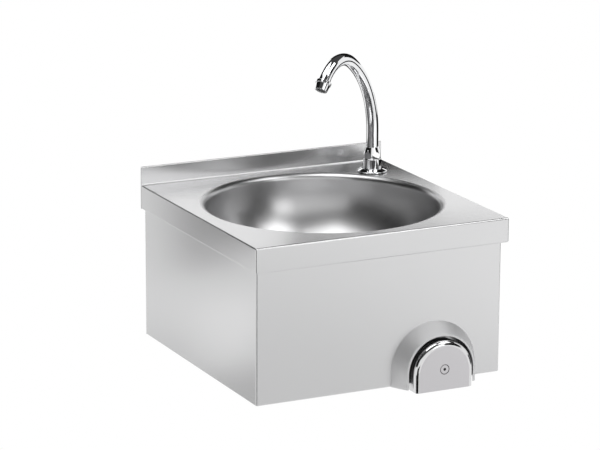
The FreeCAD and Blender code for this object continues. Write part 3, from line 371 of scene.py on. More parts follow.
def slab(name: str, low: Sequence[float], high: Sequence[float]) -> Piece:
    """Block between two corners, to be shaped further or used as a cutter.

    Args:
        name: Name of the new piece.
        low: Its lowest corner.
        high: Its highest corner.

    Returns:
        The block.
    """
    deselect()
    size = Vector(high) - Vector(low)
    bpy.ops.mesh.primitive_cube_add(size=1, location=(Vector(low) + Vector(high)) / 2, scale=size)
    bpy.ops.object.transform_apply(location=True, rotation=True, scale=True)
    return named(bpy.context.object, name)


def bar(name: str, radius: float, start: Vector, end: Vector, steps: int = 48) -> Piece:
    """Round bar between two points.

    Args:
        name: Name of the new piece.
        radius: Radius of the bar.
        start: Middle of one end.
        end: Middle of the other end.
        steps: Faces round it; with six of them it is a hexagon.

    Returns:
        The closed bar.
    """
    length = (end - start).length
    outline = [(0, 0), (radius, 0), (radius, length), (0, length)]
    return lathe(name, outline, start, end - start, steps)


def shaped(piece: Piece, kind: str, **settings: object) -> Piece:
    """Add a modifier to a piece, set it and apply it.

    Args:
        piece: The piece to work on.
        kind: Blender's type of modifier.
        settings: Values of the modifier.

    Returns:
        The same piece.
    """
    activate(piece)
    bpy.ops.object.modifier_add(type=kind)
    modifier = piece.modifiers[-1]
    for key, value in settings.items():
        setattr(modifier, key, value)
    bpy.ops.object.modifier_apply(modifier=modifier.name)
    return piece


def carved(piece: Piece, *cutters: Piece, operation: str = "DIFFERENCE") -> Piece:
    """Cut a piece with others, or keep what they share, and remove the others.

    Args:
        piece: The piece to cut.
        cutters: The pieces that cut it.
        operation: DIFFERENCE, or INTERSECT to keep what they share.

    Returns:
        The piece, with corners that nearly meet made one.
    """
    for cutter in cutters:
        shaped(piece, "BOOLEAN", object=cutter, operation=operation, solver="EXACT")
        bpy.data.objects.remove(cutter)
    with editing(piece):
        bpy.ops.mesh.remove_doubles(threshold=WELD)
    return piece


def merged(name: str, pieces: Sequence[Piece]) -> Piece:
    """Join several pieces into one object.

    Args:
        name: Name of the joined piece.
        pieces: The pieces; the first one stays and takes up the others.

    Returns:
        The joined piece.
    """
    activate(pieces[0])
    for piece in pieces[1:]:
        piece.select_set(True)
    bpy.ops.object.join()
    return named(bpy.context.object, name)


def softened(piece: Piece, width: float, steps: int = 2, angle: float = 30.0) -> Piece:
    """Round every sharp edge a little.

    Args:
        piece: The piece.
        width: Width of the rounding.
        steps: Faces across it.
        angle: Smallest angle, in degrees, of an edge that is sharp.

    Returns:
        The same piece.
    """
    return shaped(
        piece, "BEVEL", width=width, segments=steps, limit_method="ANGLE",
        angle_limit=math.radians(angle), use_clamp_overlap=True,
    )


def nut(name: str, flats: float, bore: float, start: Vector, end: Vector) -> Piece:
    """Hexagonal nut with chamfered corners.

    Args:
        name: Name of the new piece.
        flats: Width across flats.
        bore: Radius of its hole.
        start: Middle of one face.
        end: Middle of the other face.

    Returns:
        The nut.
    """
    way, length = (end - start).normalized(), (end - start).length
    corner, face = flats / 2 / HEXAGON, flats / 2 * 0.95
    widest, mouth, edge = corner * 0.985, bore + 0.0005, 0.00025
    slope = (widest - face) / 2
    blank = [(0, 0), (face, 0), (widest, slope), (widest, length - slope), (face, length),
             (0, length)]
    hole = [(0, -edge), (mouth, -edge), (bore, edge), (bore, length - edge),
            (mouth, length + edge), (0, length + edge)]
    clear = way * 0.0007
    piece = bar(name, corner, start - clear, end + clear, 6)
    piece = carved(piece, lathe(name + "_blank", blank, start, way, 90), operation="INTERSECT")
    return carved(piece, lathe(name + "_bore", hole, start, way, 64))


def smooth(piece: Piece, angle: float = 32.0, weighted: bool = True) -> Piece:
    """Shade a piece smoothly up to an angle, with wide flat faces kept flat.

    Args:
        piece: The piece to shade.
        angle: Largest angle, in degrees, that is shaded smoothly.
        weighted: Whether large faces keep their own normals.

    Returns:
        The same piece.
    """
    activate(piece)
    bpy.ops.object.shade_smooth_by_angle(angle=math.radians(angle))
    if weighted:
        shaped(piece, "WEIGHTED_NORMAL", keep_sharp=True)
    return piece


def band(inner: float, outer: float, low: float, high: float, edge: float) -> Corners:
    """Section of a ring whose outer corners are rounded, for turned()."""
    return [(inner, low), (outer, low, edge), (outer, high, edge), (inner, high)]


def turned(
    name: str,
    corners: Corners,
    at: Vector,
    axis: Vector = UP,
    steps: int = 96,
    ease: int = 3,
    angle: float = 40.0,
) -> Piece:
    """Turn an outline with rounded corners and shade it.

    Args:
        name: Name of the new piece.
        corners: Corners for eased().
        at: Foot of the axis.
        axis: Direction of the axis.
        steps: Faces round the axis.
        ease: Straight pieces in each rounded corner.
        angle: Largest angle, in degrees, that is shaded smoothly.

    Returns:
        The turned piece.
    """
    return smooth(lathe(name, eased(corners, ease), at, axis, steps), angle)


# ---------------------------------------------------------------- finishes


class Graph:
    """Nodes of a material or of the world, with short calls to add and join them."""

    def __init__(self, owner: bpy.types.Material | bpy.types.World) -> None:
        """Start with no nodes.

        Args:
            owner: The material or world whose nodes these are.
        """
        owner.use_nodes = True
        self.tree = owner.node_tree
        self.tree.nodes.clear()

    def feed(self, socket: Socket, value: object) -> None:
        """Join an input to an output, or set it.

        Args:
            socket: The input.
            value: The output to join it to, or the plain value that it gets.
        """
        if isinstance(value, Socket):
            self.tree.links.new(value, socket)
        else:
            socket.default_value = value

    def add(self, kind: str, fed: Fed, **settings: object) -> bpy.types.Node:
        """Add a node.

        Args:
            kind: Blender's type of node.
            fed: What goes into its inputs, by their names or numbers.
            settings: Values of its properties.

        Returns:
            The new node.
        """
        node = self.tree.nodes.new(kind)
        for key, value in settings.items():
            setattr(node, key, value)
        for key, value in fed.items():
            self.feed(node.inputs[key], value)
        return node

    def compute(self, kind: str, operation: str, *values: object) -> Socket:
        """Result of a Math or VectorMath node that works on sockets or plain values."""
        fed = dict(enumerate(values))
        return self.add("ShaderNode" + kind, fed, operation=operation).outputs[0]

    def shown(self) -> Socket:
        """Factor that is 1 for camera, glossy and see-through rays, and 0 for the others.

        Returns:
            The factor's socket.
        """
        path = self.add("ShaderNodeLightPath", {}).outputs
        seen = self.compute("Math", "MAXIMUM", path["Is Camera Ray"], path["Is Glossy Ray"])
        return self.compute("Math", "MAXIMUM", seen, path["Is Transmission Ray"])


class Surface(Graph):
    """A material's nodes, round a principled shader."""

    def __init__(self, name: str) -> None:
        """Start a material that holds the shader and its output.

        Args:
            name: The material's name.
        """
        self.material = bpy.data.materials.new(name)
        super().__init__(self.material)
        self.shader = self.add("ShaderNodeBsdfPrincipled", {})
        end = self.add("ShaderNodeOutputMaterial", {"Surface": self.shader.outputs["BSDF"]})
        self.output = end.inputs["Surface"]

    def values(self, **values: object) -> None:
        """Feed inputs of the shader; an underscore stands for a space."""
        for key, value in values.items():
            self.feed(self.shader.inputs[key.replace("_", " ")], value)

    def glow(self, shade: float) -> Socket:
        """Light of a grey shade that the surface gives off."""
        return self.add("ShaderNodeEmission", {"Color": (shade, shade, shade, 1.0)}).outputs[0]

    def place(self, stretch: Sequence[float], centre: Sequence[float] = (0, 0, 0)) -> Socket:
        """The surface's own place, from a centre, stretched along each axis.

        Args:
            stretch: Factor along each axis.
            centre: Where the place counts from.

        Returns:
            The place, as a socket.
        """
        source = self.add("ShaderNodeTexCoord", {}).outputs["Object"]
        moved = self.compute("VectorMath", "SUBTRACT", source, centre)
        return self.compute("VectorMath", "MULTIPLY", moved, stretch)

    def rings(self, stretch: Sequence[float], centre: Sequence[float]) -> Socket:
        """Distance from an upright axis and height along it, stretched.

        Args:
            stretch: Factor for the distance and for the height.
            centre: A point on the axis.

        Returns:
            The place, as a socket.
        """
        place = self.place((1, 1, 1), centre)
        flat = self.compute("VectorMath", "MULTIPLY", place, (1, 1, 0))
        distance = self.add("ShaderNodeVectorMath", {0: flat}, operation="LENGTH").outputs["Value"]
        height = self.add("ShaderNodeSeparateXYZ", {0: place}).outputs["Z"]
        whole = self.add("ShaderNodeCombineXYZ", {"X": distance, "Z": height}).outputs[0]
        return self.compute("VectorMath", "MULTIPLY", whole, stretch)

    def noise(self, place: Socket, scale: float, detail: float = 3.0) -> Socket:
        """Soft noise over a place, from 0 to 1."""
        fed = {"Scale": scale, "Detail": detail, "Vector": place}
        return self.add("ShaderNodeTexNoise", fed).outputs["Fac"]

    def spread(self, value: Socket, low: float, high: float) -> Socket:
        """Carry the middle of a noise over to the range from low to high."""
        fed = {"From Min": 0.3, "From Max": 0.7, "To Min": low, "To Max": high, "Value": value}
        return self.add("ShaderNodeMapRange", fed).outputs["Result"]

    def tint(self, value: Socket, low: Colour, high: Colour) -> Socket:
        """Colour between two colours."""
        fed = {0: value, 6: (*low, 1.0), 7: (*high, 1.0)}
        return self.add("ShaderNodeMix", fed, data_type="RGBA").outputs[2]

    def bump(self, value: Socket, depth: float) -> None:
        """Raise the surface by a height map."""
        node = self.add("ShaderNodeBump", {"Distance": depth, "Height": value})
        self.values(Normal=node.outputs["Normal"])


@dataclass(frozen=True)
class Finish:
    """What every finish has: its material's name and the record's slot that it stands for."""

    name: str
    slot: Slot

    def material(self) -> bpy.types.Material:
        """Build the material's nodes."""
        raise NotImplementedError


@dataclass(frozen=True)
class Metal(Finish):
    """A bare or plated metal, with brushing and faint unevenness."""

    colour: Colour
    roughness: float
    spread: float
    grain: Grain = Grain.NONE
    grain_depth: float = 0.0
    stretch: float = 0.0
    centre: tuple[float, float, float] = (0.0, 0.0, 0.0)

    FINE: ClassVar[float] = 2600.0
    LONG: ClassVar[float] = 26.0
    PLAIN: ClassVar[float] = 700.0

    def grain_place(self, surface: Surface) -> Socket:
        """Place along the brushing, finely divided across it.

        Args:
            surface: The material's nodes.

        Returns:
            The place, as a socket.
        """
        fine, long, plain = self.FINE, self.LONG, self.PLAIN
        if self.grain is Grain.ROUND:
            return surface.rings((fine, 0, fine), self.centre)
        stretch = {Grain.ACROSS: (long, fine, fine), Grain.UPRIGHT: (fine, fine, long)}
        return surface.place(stretch.get(self.grain, (plain, plain, plain)))

    def material(self) -> bpy.types.Material:
        """Build the material's nodes.

        Returns:
            The material.
        """
        surface = Surface(self.name)
        cloud = surface.noise(surface.place((1, 1, 1)), 14.0, 2.0)
        fine = surface.noise(self.grain_place(surface), 1.0, 2.0)
        dark = tuple(c * 0.98 for c in self.colour)
        patches = surface.spread(cloud, -self.spread / 2, self.spread / 2)
        lines = surface.spread(fine, self.roughness - self.spread, self.roughness + self.spread)
        surface.values(
            Metallic=1.0,
            Base_Color=surface.tint(fine, dark, self.colour),
            Roughness=surface.compute("Math", "ADD", patches, lines),
        )
        if self.grain_depth:
            surface.bump(fine, self.grain_depth)
        if self.stretch:
            rings = surface.add("ShaderNodeTangent", {}, direction_type="RADIAL", axis="Z")
            surface.values(
                Anisotropic=self.stretch, Anisotropic_Rotation=0.25, Tangent=rings.outputs[0]
            )
        return surface.material


@dataclass(frozen=True)
class Moulded(Finish):
    """Rubber or plastic from a mould, with a fine matt skin."""

    colour: Colour
    roughness: float
    skin: float

    def material(self) -> bpy.types.Material:
        """Build the material's nodes.

        Returns:
            The material.
        """
        surface = Surface(self.name)
        place = surface.place((1, 1, 1))
        patch, pores = surface.noise(place, 40.0), surface.noise(place, 2400.0, 2.0)
        worn = tuple(min(1.0, c * 1.12 + 0.01) for c in self.colour)
        surface.values(
            Base_Color=surface.tint(patch, self.colour, worn),
            Roughness=surface.spread(patch, self.roughness - 0.05, self.roughness + 0.05),
        )
        surface.bump(pores, self.skin)
        return surface.material


@dataclass(frozen=True)
class Braid(Finish):
    """Crossing bundles of steel wire round a hose, which follow its own map."""

    turns: float
    strands: float
    gap: Colour
    wire: Colour
    depth: float

    def material(self) -> bpy.types.Material:
        """Build the material's nodes.

        Returns:
            The material.
        """
        surface = Surface(self.name)
        source = surface.add("ShaderNodeUVMap", {}).outputs["UV"]
        parts = surface.add("ShaderNodeSeparateXYZ", {0: source}).outputs
        weaves = []
        for hand in (1, -1):
            along = surface.compute("Math", "MULTIPLY", parts["X"], self.turns * hand)
            around = surface.compute("Math", "MULTIPLY_ADD", parts["Y"], self.strands, along)
            weaves.append(surface.compute("Math", "PINGPONG", around, 0.5))
        woven = surface.compute("Math", "MAXIMUM", *weaves)
        surface.values(
            Metallic=1.0,
            Base_Color=surface.tint(surface.spread(woven, 0, 1), self.gap, self.wire),
            Roughness=surface.spread(woven, 0.45, 0.25),
        )
        surface.bump(woven, self.depth)
        return surface.material


@dataclass
class Finishes:
    """Every finish of the sink, each made once."""

    made: dict[str, bpy.types.Material] = field(default_factory=dict)

    def take(self, finish: Finish) -> bpy.types.Material:
        """Material of a finish, built at its first use.

        Args:
            finish: The finish wanted.

        Returns:
            Its material.
        """
        if finish.name not in self.made:
            self.made[finish.name] = finish.material()
        return self.made[finish.name]


BOWL_CENTRE = (0.0, -0.204, 0.0)
SHEET_STEEL = Metal("satin_sheet", Slot.SATIN, (0.66, 0.66, 0.665), 0.26, 0.008, Grain.ACROSS, 6e-7)
# The bowl's base colour is darker than the deck's sheet: painted shade for the darker inside of the
# bowl.
BOWL_STEEL = Metal(
    "satin_bowl", Slot.SATIN, (0.58, 0.58, 0.585), 0.31, 0.008, Grain.ROUND, 6e-7, 0.5, BOWL_CENTRE
)
# The cowl's base colour is lighter than the deck's sheet: painted light for the brighter top of the
# cowl.
COWL_STEEL = Metal("satin_cowl", Slot.SATIN, (0.72, 0.72, 0.725), 0.60, 0.03, Grain.NONE, 6e-6)
# Near-black steel: painted shade for the shadow inside the cowl, in the button's screw seat and in
# the screw's socket.
PAINTED_SHADE_STEEL = Metal("painted_shade_steel", Slot.SATIN, (0.07, 0.07, 0.072), 0.55, 0.05, Grain.NONE, 8e-6)
SMALL_STEEL = Metal("small_steel", Slot.SATIN, (0.58, 0.58, 0.59), 0.28, 0.04)
BUTTON_FACE = Metal(
    "satin_button", Slot.BUTTON, (0.62, 0.61, 0.625), 0.34, 0.02, Grain.UPRIGHT, 3e-6
)
BUTTON_EDGE = Metal("polished_button_edge", Slot.BUTTON, (0.72, 0.72, 0.725), 0.10, 0.02)
CHROME = Metal("chrome_plate", Slot.CHROME, (0.86, 0.865, 0.875), 0.035, 0.01)
BRASS = Metal("turned_brass", Slot.BRASS, (0.72, 0.53, 0.25), 0.28, 0.05, Grain.NONE, 6e-6)
RUBBER = Moulded("black_rubber", Slot.RUBBER, (0.018, 0.018, 0.019), 0.62, 2e-5)
SLIP_PLASTIC = Moulded("white_slip_plastic", Slot.SLIP, (0.80, 0.80, 0.77), 0.42, 1e-5)
INSERT_PLASTIC = Moulded("grey_insert_plastic", Slot.INSERT, (0.16, 0.165, 0.17), 0.45, 1e-5)
WASTE_PLASTIC = Moulded("white_waste_plastic", Slot.WASTE, (0.78, 0.78, 0.755), 0.38, 1e-5)
HOSE_BRAID = Braid(
    "steel_wire_braid", Slot.BRAID, 46.0, 8.0, (0.16, 0.16, 0.165), (0.62, 0.62, 0.63), 0.0004
)


# ---------------------------------------------------------------- places


@dataclass(frozen=True)
class Layout:
    """Where the main pieces of the sink stand."""

    deck_z: float = 0.130
    half: float = 0.200
    depth: float = 0.400
    sheet: float = 0.0012
    bend: float = 0.0024
    apron: float = 0.036
    box_half: float = 0.1938
    box_bottom: float = -0.101
    panel_y: float = -0.389
    bowl_y: float = -0.204
    bowl_r: float = 0.179
    recess_floor: float = -0.010225
    tap_x: float = 0.151007
    tap_y: float = -0.068033
    knee_x: float = 0.0856
    arch_z: float = -0.0796
    rod_z: float = -0.074
    tap_tail: float = -0.0532
    port_at: float = 0.024
    port_reach: float = 0.030

    def on_tap(self, height: float) -> Vector:
        """Point on the tap's axis, above the deck."""
        return Vector((self.tap_x, self.tap_y, self.deck_z + height))

    def on_bowl(self, z: float) -> Vector:
        """Point on the bowl's axis."""
        return Vector((0.0, self.bowl_y, z))

    def on_valve(self, along: float, right: float = 0.0) -> Vector:
        """Point on the knee valve's axis, counted from the panel's face."""
        return Vector((self.knee_x + right, self.panel_y + along, self.rod_z))

    def on_arch(self) -> Vector:
        """Centre of the cowl's arch, on the panel's face."""
        return Vector((self.knee_x, self.panel_y, self.arch_z))


@dataclass
class Assembly:
    """What every sub-assembly shares: the layout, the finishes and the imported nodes."""

    layout: Layout
    finishes: Finishes
    nodes: dict[str, Piece]

    BODY: ClassVar[Body] = Body.CABINET

    def dress(self, piece: Piece, finish: Finish, *stands_for: str) -> Piece:
        """Give a new piece its finish and set it on the body of its sub-assembly.

        Args:
            piece: The finished mesh, in place.
            finish: Its finish; a piece that already has materials keeps them.
            stands_for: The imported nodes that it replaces.

        Returns:
            The same piece.
        """
        body, slot = self.BODY, finish.slot
        if not piece.data.materials:
            piece.data.materials.append(self.finishes.take(finish))
        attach(piece, body.value)
        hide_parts(*stands_for)
        log.info("%s: %d faces, on %s", piece.name, len(piece.data.polygons), body.value)
        return piece

    def paint(self, piece: Piece, finish: Finish, *others: tuple[Finish, FaceTest]) -> Piece:
        """Give a piece a finish and some of its faces others.

        Args:
            piece: The piece, without materials.
            finish: Finish of the faces that no test takes.
            others: Each further finish, with the test that takes its faces.

        Returns:
            The same piece.
        """
        for taken in (finish, *[other for other, _ in others]):
            piece.data.materials.append(self.finishes.take(taken))
        with editing(piece):
            for index, (_, test) in enumerate(others, 1):
                pick("FACE", test)
                piece.active_material_index = index
                bpy.ops.object.material_slot_assign()
        return piece

    def keep(self, finish: Finish, *names: str) -> None:
        """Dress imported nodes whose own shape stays.

        Args:
            finish: The finish to give them.
            names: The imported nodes.
        """
        for name in names:
            node = self.nodes[name]
            if not node.material_slots:
                node.data.materials.append(None)
            for place in node.material_slots:
                place.material = self.finishes.take(finish)
            log.info("%s: packed shape kept", name)


# ---------------------------------------------------------------- sheet metal


@dataclass
class Deck(Assembly):
    """Top pressing with its aprons, the upstand at the wall and the two holes."""

    upstand_h: float = 0.028
    upstand_t: float = 0.003
    end_rise: float = 0.0006
    end_edge: float = 0.00035
    foot_r: float = 0.002
    fold: float = 0.0018
    side_lip: float = 0.0062
    front_lip: float = 0.011
    tap_hole: float = 0.011
    back: float = -0.0018

    def pressing(self) -> Piece:
        """Flat deck with three folded aprons and their inward lips.

        Returns:
            The pressing.
        """
        plan = self.layout
        low, back, front = plan.deck_z - plan.apron, self.back, -plan.depth
        piece = slab("deck_pressing", (-plan.half, front, low), (plan.half, back, plan.deck_z))
        with editing(piece):
            pick("FACE", lambda f: f.normal.z < -0.9 or f.normal.y > 0.9)
            bpy.ops.mesh.delete(type="FACE")

            def outer_fold(edge: bmesh.types.BMEdge) -> bool:
                """Whether an edge lies round the deck or upright at its front corners."""
                upright = abs(way_of(edge).z) > 0.9 and middle(edge).y < front + REACH
                return len(edge.link_faces) == 2 and (near(middle(edge).z, plan.deck_z) or upright)

            pick("EDGE", outer_fold)
            bpy.ops.mesh.bevel(offset=plan.bend, segments=6, affect="EDGES")
            pick("EDGE", lambda e: e.is_boundary and near(middle(e).z, low) and lies_flat(e))
            draw_out((0, 0, 0))
            bpy.ops.transform.resize(
                value=(1 - self.side_lip / plan.half, 1 - self.front_lip / (plan.depth + back), 1),
                center_override=(0, back, low),
            )
            tight = plan.half - self.side_lip / 2
            pick(
                "EDGE",
                lambda e: len(e.link_faces) == 2 and near(middle(e).z, low) and lies_flat(e)
                and (abs(middle(e).x) > tight or middle(e).y < front + self.front_lip / 2)
                and e.calc_face_angle(0) > 1,
            )
            bpy.ops.mesh.bevel(offset=self.fold, segments=4, affect="EDGES")
        piece = shaped(piece, "SOLIDIFY", thickness=plan.sheet, offset=-1, use_even_offset=True)
        bowl = plan.on_bowl(plan.deck_z)
        hole = bar("bowl_hole", plan.bowl_r, bowl - UP * REACH, bowl + UP * REACH, 192)
        tap = bar("tap_hole", self.tap_hole, plan.on_tap(-REACH), plan.on_tap(REACH), 64)
        return smooth(carved(piece, hole, tap))

    def upstand(self) -> Piece:
        """Hemmed edge at the wall with its rounded foot on the deck.

        Returns:
            The upstand.
        """
        plan = self.layout
        top, half_t = plan.deck_z + self.upstand_h - self.upstand_t / 2, self.upstand_t / 2
        low, under = plan.deck_z - plan.apron, plan.deck_z - plan.sheet
        foot_y = -self.upstand_t - self.foot_r
        skin = [(foot_y - 0.0001, plan.deck_z + 0.000005)]
        skin += arc((foot_y, plan.deck_z + self.foot_r), self.foot_r, -90.5, 0, 12)
        hem = arc((-half_t, top), half_t, 180, 0, 14)
        rear = [(0, low), (-plan.sheet, low), (-plan.sheet, under), (foot_y, under)]
        spots = [Vector((-plan.half, y, z)) for y, z in skin + hem + rear]
        piece = prism("deck_upstand", spots, RIGHT * plan.half * 2)
        end_z = plan.deck_z + self.end_rise
        with editing(piece):
            pick("EDGE", lambda e: near(abs(middle(e).x), plan.half) and middle(e).z > end_z)
            bpy.ops.mesh.bevel(offset=self.end_edge, segments=2, affect="EDGES")
        return smooth(piece)

    def build(self) -> None:
        """Make the deck and set it on the cabinet."""
        piece = merged("deck_top", [self.pressing(), self.upstand()])
        self.dress(piece, SHEET_STEEL, "deck")


@dataclass
class Bowl(Assembly):
    """Round pressing with a rolled lip, a domed bottom and a recess for the grid."""

    lip: float = 0.009
    neck: float = 0.009
    side: float = 0.100
    bottom: float = 0.220
    recess_r: float = 0.038
    recess_h: float = 0.003
    recess_turn: float = 0.0011
    slope: float = 0.002
    hole: float = 0.026
    steps: int = 192

    def section(self, offset: float) -> Outline:
        """Section from the lip to the hole.

        Args:
            offset: Distance from the water side, towards the dry side.

        Returns:
            Points as (radius, height).
        """
        plan = self.layout
        rim, neck_r = plan.bowl_r, plan.bowl_r - self.lip
        neck_z = plan.deck_z - self.lip - self.neck
        side_r = neck_r - self.side
        rise = math.sqrt((self.bottom - self.side) ** 2 - side_r**2)
        centre_z = neck_z + rise
        meet = -math.degrees(math.atan2(rise, side_r))
        made = [(rim, plan.deck_z - offset)]
        made += arc((rim, plan.deck_z - self.lip), self.lip - offset, 90.3, 180, 16)
        made += [(neck_r + offset, neck_z + self.neck * 0.5)]
        made += arc((side_r, neck_z), self.side + offset, 0, meet, 26)
        outer, recess = self.bottom + offset, self.recess_r + offset * 0.83
        end = -math.degrees(math.acos(recess / outer))
        made += arc((0, centre_z), outer, meet, end, 18)[1:-1]
        edge_z = centre_z - math.sqrt(outer**2 - recess**2)
        floor = centre_z - math.sqrt(self.bottom**2 - self.recess_r**2) - self.recess_h - offset
        corner, turn_r = self.recess_r - self.slope + offset * 0.535, self.recess_turn
        foot = [(recess, edge_z, turn_r), (corner, floor, turn_r), (self.hole, floor)]
        turn = eased([made[-1], *foot], 4)
        return made + turn[1:]

    def build(self) -> None:
        """Turn the bowl and set it on the cabinet."""
        outline = self.section(0.0) + self.section(self.layout.sheet)[::-1]
        piece = lathe("bowl_pressing", outline, self.layout.on_bowl(0), steps=self.steps)
        self.dress(smooth(piece, 40, False), BOWL_STEEL, "bowl")


@dataclass
class Skirt(Assembly):
    """Folded box under the deck with flanges against the wall."""

    top: float = 0.1288
    lip: float = 0.012
    fold: float = 0.0016
    flange: float = 0.0276
    wall_hole: float = 0.00425
    hole_x: float = 0.180
    hole_z: float = 0.070
    neck_hole: float = 0.0136
    stud_hole: float = 0.0026
    notch_y: float = -0.0036
    notch_z: float = 0.0934

    def build(self) -> None:
        """Fold the skirt from one strip and set it on the cabinet."""
        plan = self.layout
        half, low, front = plan.box_half, plan.box_bottom, plan.panel_y
        inner = half - self.flange
        strip = [(-inner, 0), (-half, 0), (-half, front), (half, front), (half, 0), (inner, 0)]
        piece = chain("cabinet_box", [Vector((x, y, low)) for x, y in strip])
        with editing(piece):
            draw_out((0, 0, self.top - low))
            bpy.ops.mesh.select_all(action="SELECT")
            bpy.ops.mesh.normals_make_consistent(inside=False)
            pick("EDGE", lambda e: abs(way_of(e).z) > 0.9 and len(e.link_faces) == 2)
            bpy.ops.mesh.bevel(offset=plan.bend, segments=6, affect="EDGES")
            rear = -plan.bend * 1.01
            pick("EDGE", lambda e: e.is_boundary and near(middle(e).z, low) and middle(e).y < rear)
            draw_out((0, 0, 0))
            bpy.ops.transform.resize(
                value=(1 - self.lip / half, 1 + self.lip / front, 1), center_override=(0, 0, low)
            )
            pick("EDGE", lambda e: near(middle(e).z, low) and len(e.link_faces) == 2
                 and e.calc_face_angle(0) > 1)
            bpy.ops.mesh.bevel(offset=self.fold, segments=4, affect="EDGES")
            panel = bmesh.from_edit_mesh(piece.data)
            widest = max(panel.faces, key=lambda f: f.calc_area())
            outward = widest.calc_center_median() - Vector((0, front / 2, 0))
            bpy.ops.mesh.select_all(action="SELECT")
            if widest.normal.dot(outward) < 0:
                bpy.ops.mesh.flip_normals()
        piece = shaped(piece, "SOLIDIFY", thickness=plan.sheet, offset=-1, use_even_offset=True)
        low_corner = (-half - REACH, self.notch_y, self.notch_z)
        cutters = [slab("wall_notch", low_corner, (half + REACH, REACH, self.top + REACH))]
        way = TO_WALL * REACH
        for x in (-self.hole_x, self.hole_x):
            for z in (-self.hole_z, self.hole_z):
                spot = Vector((x, 0, z))
                cutters.append(bar("wall_hole", self.wall_hole, spot - way, spot + way))
        neck = plan.on_valve(0)
        cutters.append(bar("neck_hole", self.neck_hole, neck - way, neck + way, 64))
        for spot in Cowl.stud_spots(plan):
            cutters.append(bar("stud_hole", self.stud_hole, spot - way, spot + way, 32))
        self.dress(smooth(carved(piece, *cutters)), SHEET_STEEL, "cabinet_skirt")


# ---------------------------------------------------------------- cowl and knee button


@dataclass
class Cowl(Assembly):
    """Tapered arch round the knee button, held by three studs."""

    STUD_CIRCLE: ClassVar[float] = 0.0628
    STUD_TURNS: ClassVar[tuple[float, ...]] = (10, 90, 170)

    foot_r: float = 0.068
    top_r: float = 0.0549
    depth: float = 0.025
    wall: float = 0.0014
    mouth_r: float = 0.0517
    fillet: float = 0.0026
    flange: float = 0.009
    stud_r: float = 0.002
    stud_l: float = 0.011
    stud_flats: float = 0.007
    stud_nut_l: float = 0.0032
    stud_pitch: float = 0.0007
    mouth_edge: float = 0.0004
    steps: int = 96

    @staticmethod
    def stud_spots(plan: Layout) -> list[Vector]:
        """Places of the three studs on the panel's face.

        Args:
            plan: The layout.

        Returns:
            The middle of each stud on the face.
        """
        angles = [math.radians(turn) for turn in Cowl.STUD_TURNS]
        ways = [Vector((math.cos(angle), 0, math.sin(angle))) for angle in angles]
        return [plan.on_arch() + way * Cowl.STUD_CIRCLE for way in ways]

    def shell(self) -> Piece:
        """Turn the section half round and draw its legs down.

        Returns:
            The shell.
        """
        plan, inner = self.layout, self.wall
        lean = (self.foot_r - self.top_r) / self.depth
        section = eased(
            [
                (self.foot_r, 0.0),
                (self.top_r, self.depth, self.fillet),
                (self.mouth_r, self.depth, self.mouth_edge),
                (self.mouth_r, self.depth - inner, self.mouth_edge),
                (self.top_r - inner, self.depth - inner, self.fillet - inner),
                (self.foot_r - inner - lean * inner, inner),
                (self.foot_r - self.flange, inner),
                (self.foot_r - self.flange, 0.0),
            ],
            7,
        )
        return half_turned("button_cowl", plan.on_arch(), section, plan.box_bottom, self.steps)

    def inside(self, face: bmesh.types.BMFace, front: float) -> bool:
        """Whether a face lines the cowl, behind its front edge.

        Args:
            face: The face.
            front: Place of the front edge.

        Returns:
            True if it does.
        """
        spot, normal = face.calc_center_median(), face.normal
        inward = self.layout.on_arch() - spot
        if spot.z < self.layout.arch_z:
            inward.z = 0.0
        return spot.y > front and normal.dot(Vector((inward.x, 0.0, inward.z))) > 0

    def fasteners(self) -> None:
        """Three weld studs and their nuts behind the panel."""
        plan = self.layout
        studs, nuts = [], []
        for k, spot in enumerate(self.stud_spots(plan)):
            outline = [(0, 0), (self.stud_r, 0), (self.stud_r, 0.0012)]
            outline += thread(self.stud_r, 0.0013, self.stud_l - 0.0006, self.stud_pitch)
            outline += [(self.stud_r * 0.75, self.stud_l), (0, self.stud_l)]
            studs.append(lathe(f"stud_{k}", outline, spot, TO_WALL, 32))
            start = spot + TO_WALL * plan.sheet
            end = start + TO_WALL * self.stud_nut_l
            nuts.append(nut(f"stud_nut_{k}", self.stud_flats, self.stud_r, start, end))
        studs_piece = smooth(merged("cowl_studs", studs), 50, False)
        self.dress(studs_piece, SMALL_STEEL, "hood_studs")
        nuts_piece = smooth(merged("cowl_nuts", nuts))
        self.dress(nuts_piece, SMALL_STEEL, "hood_nuts")

    def build(self) -> None:
        """Make the cowl and its fasteners."""
        # The cowl's inner faces get near-black steel: painted shade for the shadow inside the cowl.
        front = self.layout.panel_y - self.depth + self.wall * 0.8
        painted_shade_lining = (PAINTED_SHADE_STEEL, lambda f: self.inside(f, front))
        piece = self.paint(smooth(self.shell(), 50), COWL_STEEL, painted_shade_lining)
        self.dress(piece, COWL_STEEL, "button_hood")
        self.fasteners()


def half_turned(name: str, centre: Vector, section: Outline, bottom: float, steps: int) -> Piece:
    """Arch with straight legs, from its section.

    Args:
        name: Name of the new piece.
        centre: Centre of the arch, on the panel's face.
        section: Closed outline as (radius, distance in front of the panel).
        bottom: Height at which the legs end.
        steps: Faces round the arch.

    Returns:
        The closed arch.
    """
    spots = [centre + RIGHT * radius - TO_WALL * out for radius, out in section]
    piece = chain(name, spots + spots[:1])
    with editing(piece):
        bpy.ops.mesh.remove_doubles(threshold=SAME)
        sweep(steps, math.pi, centre, -TO_WALL)
        tidy_mesh()
        pick("EDGE", lambda e: e.is_boundary)
        draw_out((0, 0, bottom - centre.z))
        pick("EDGE", lambda e: e.is_boundary and middle(e).x > centre.x)
        bpy.ops.mesh.edge_face_add()
        pick("EDGE", lambda e: e.is_boundary and middle(e).x < centre.x)
        bpy.ops.mesh.edge_face_add()
        tidy_mesh()
    return piece


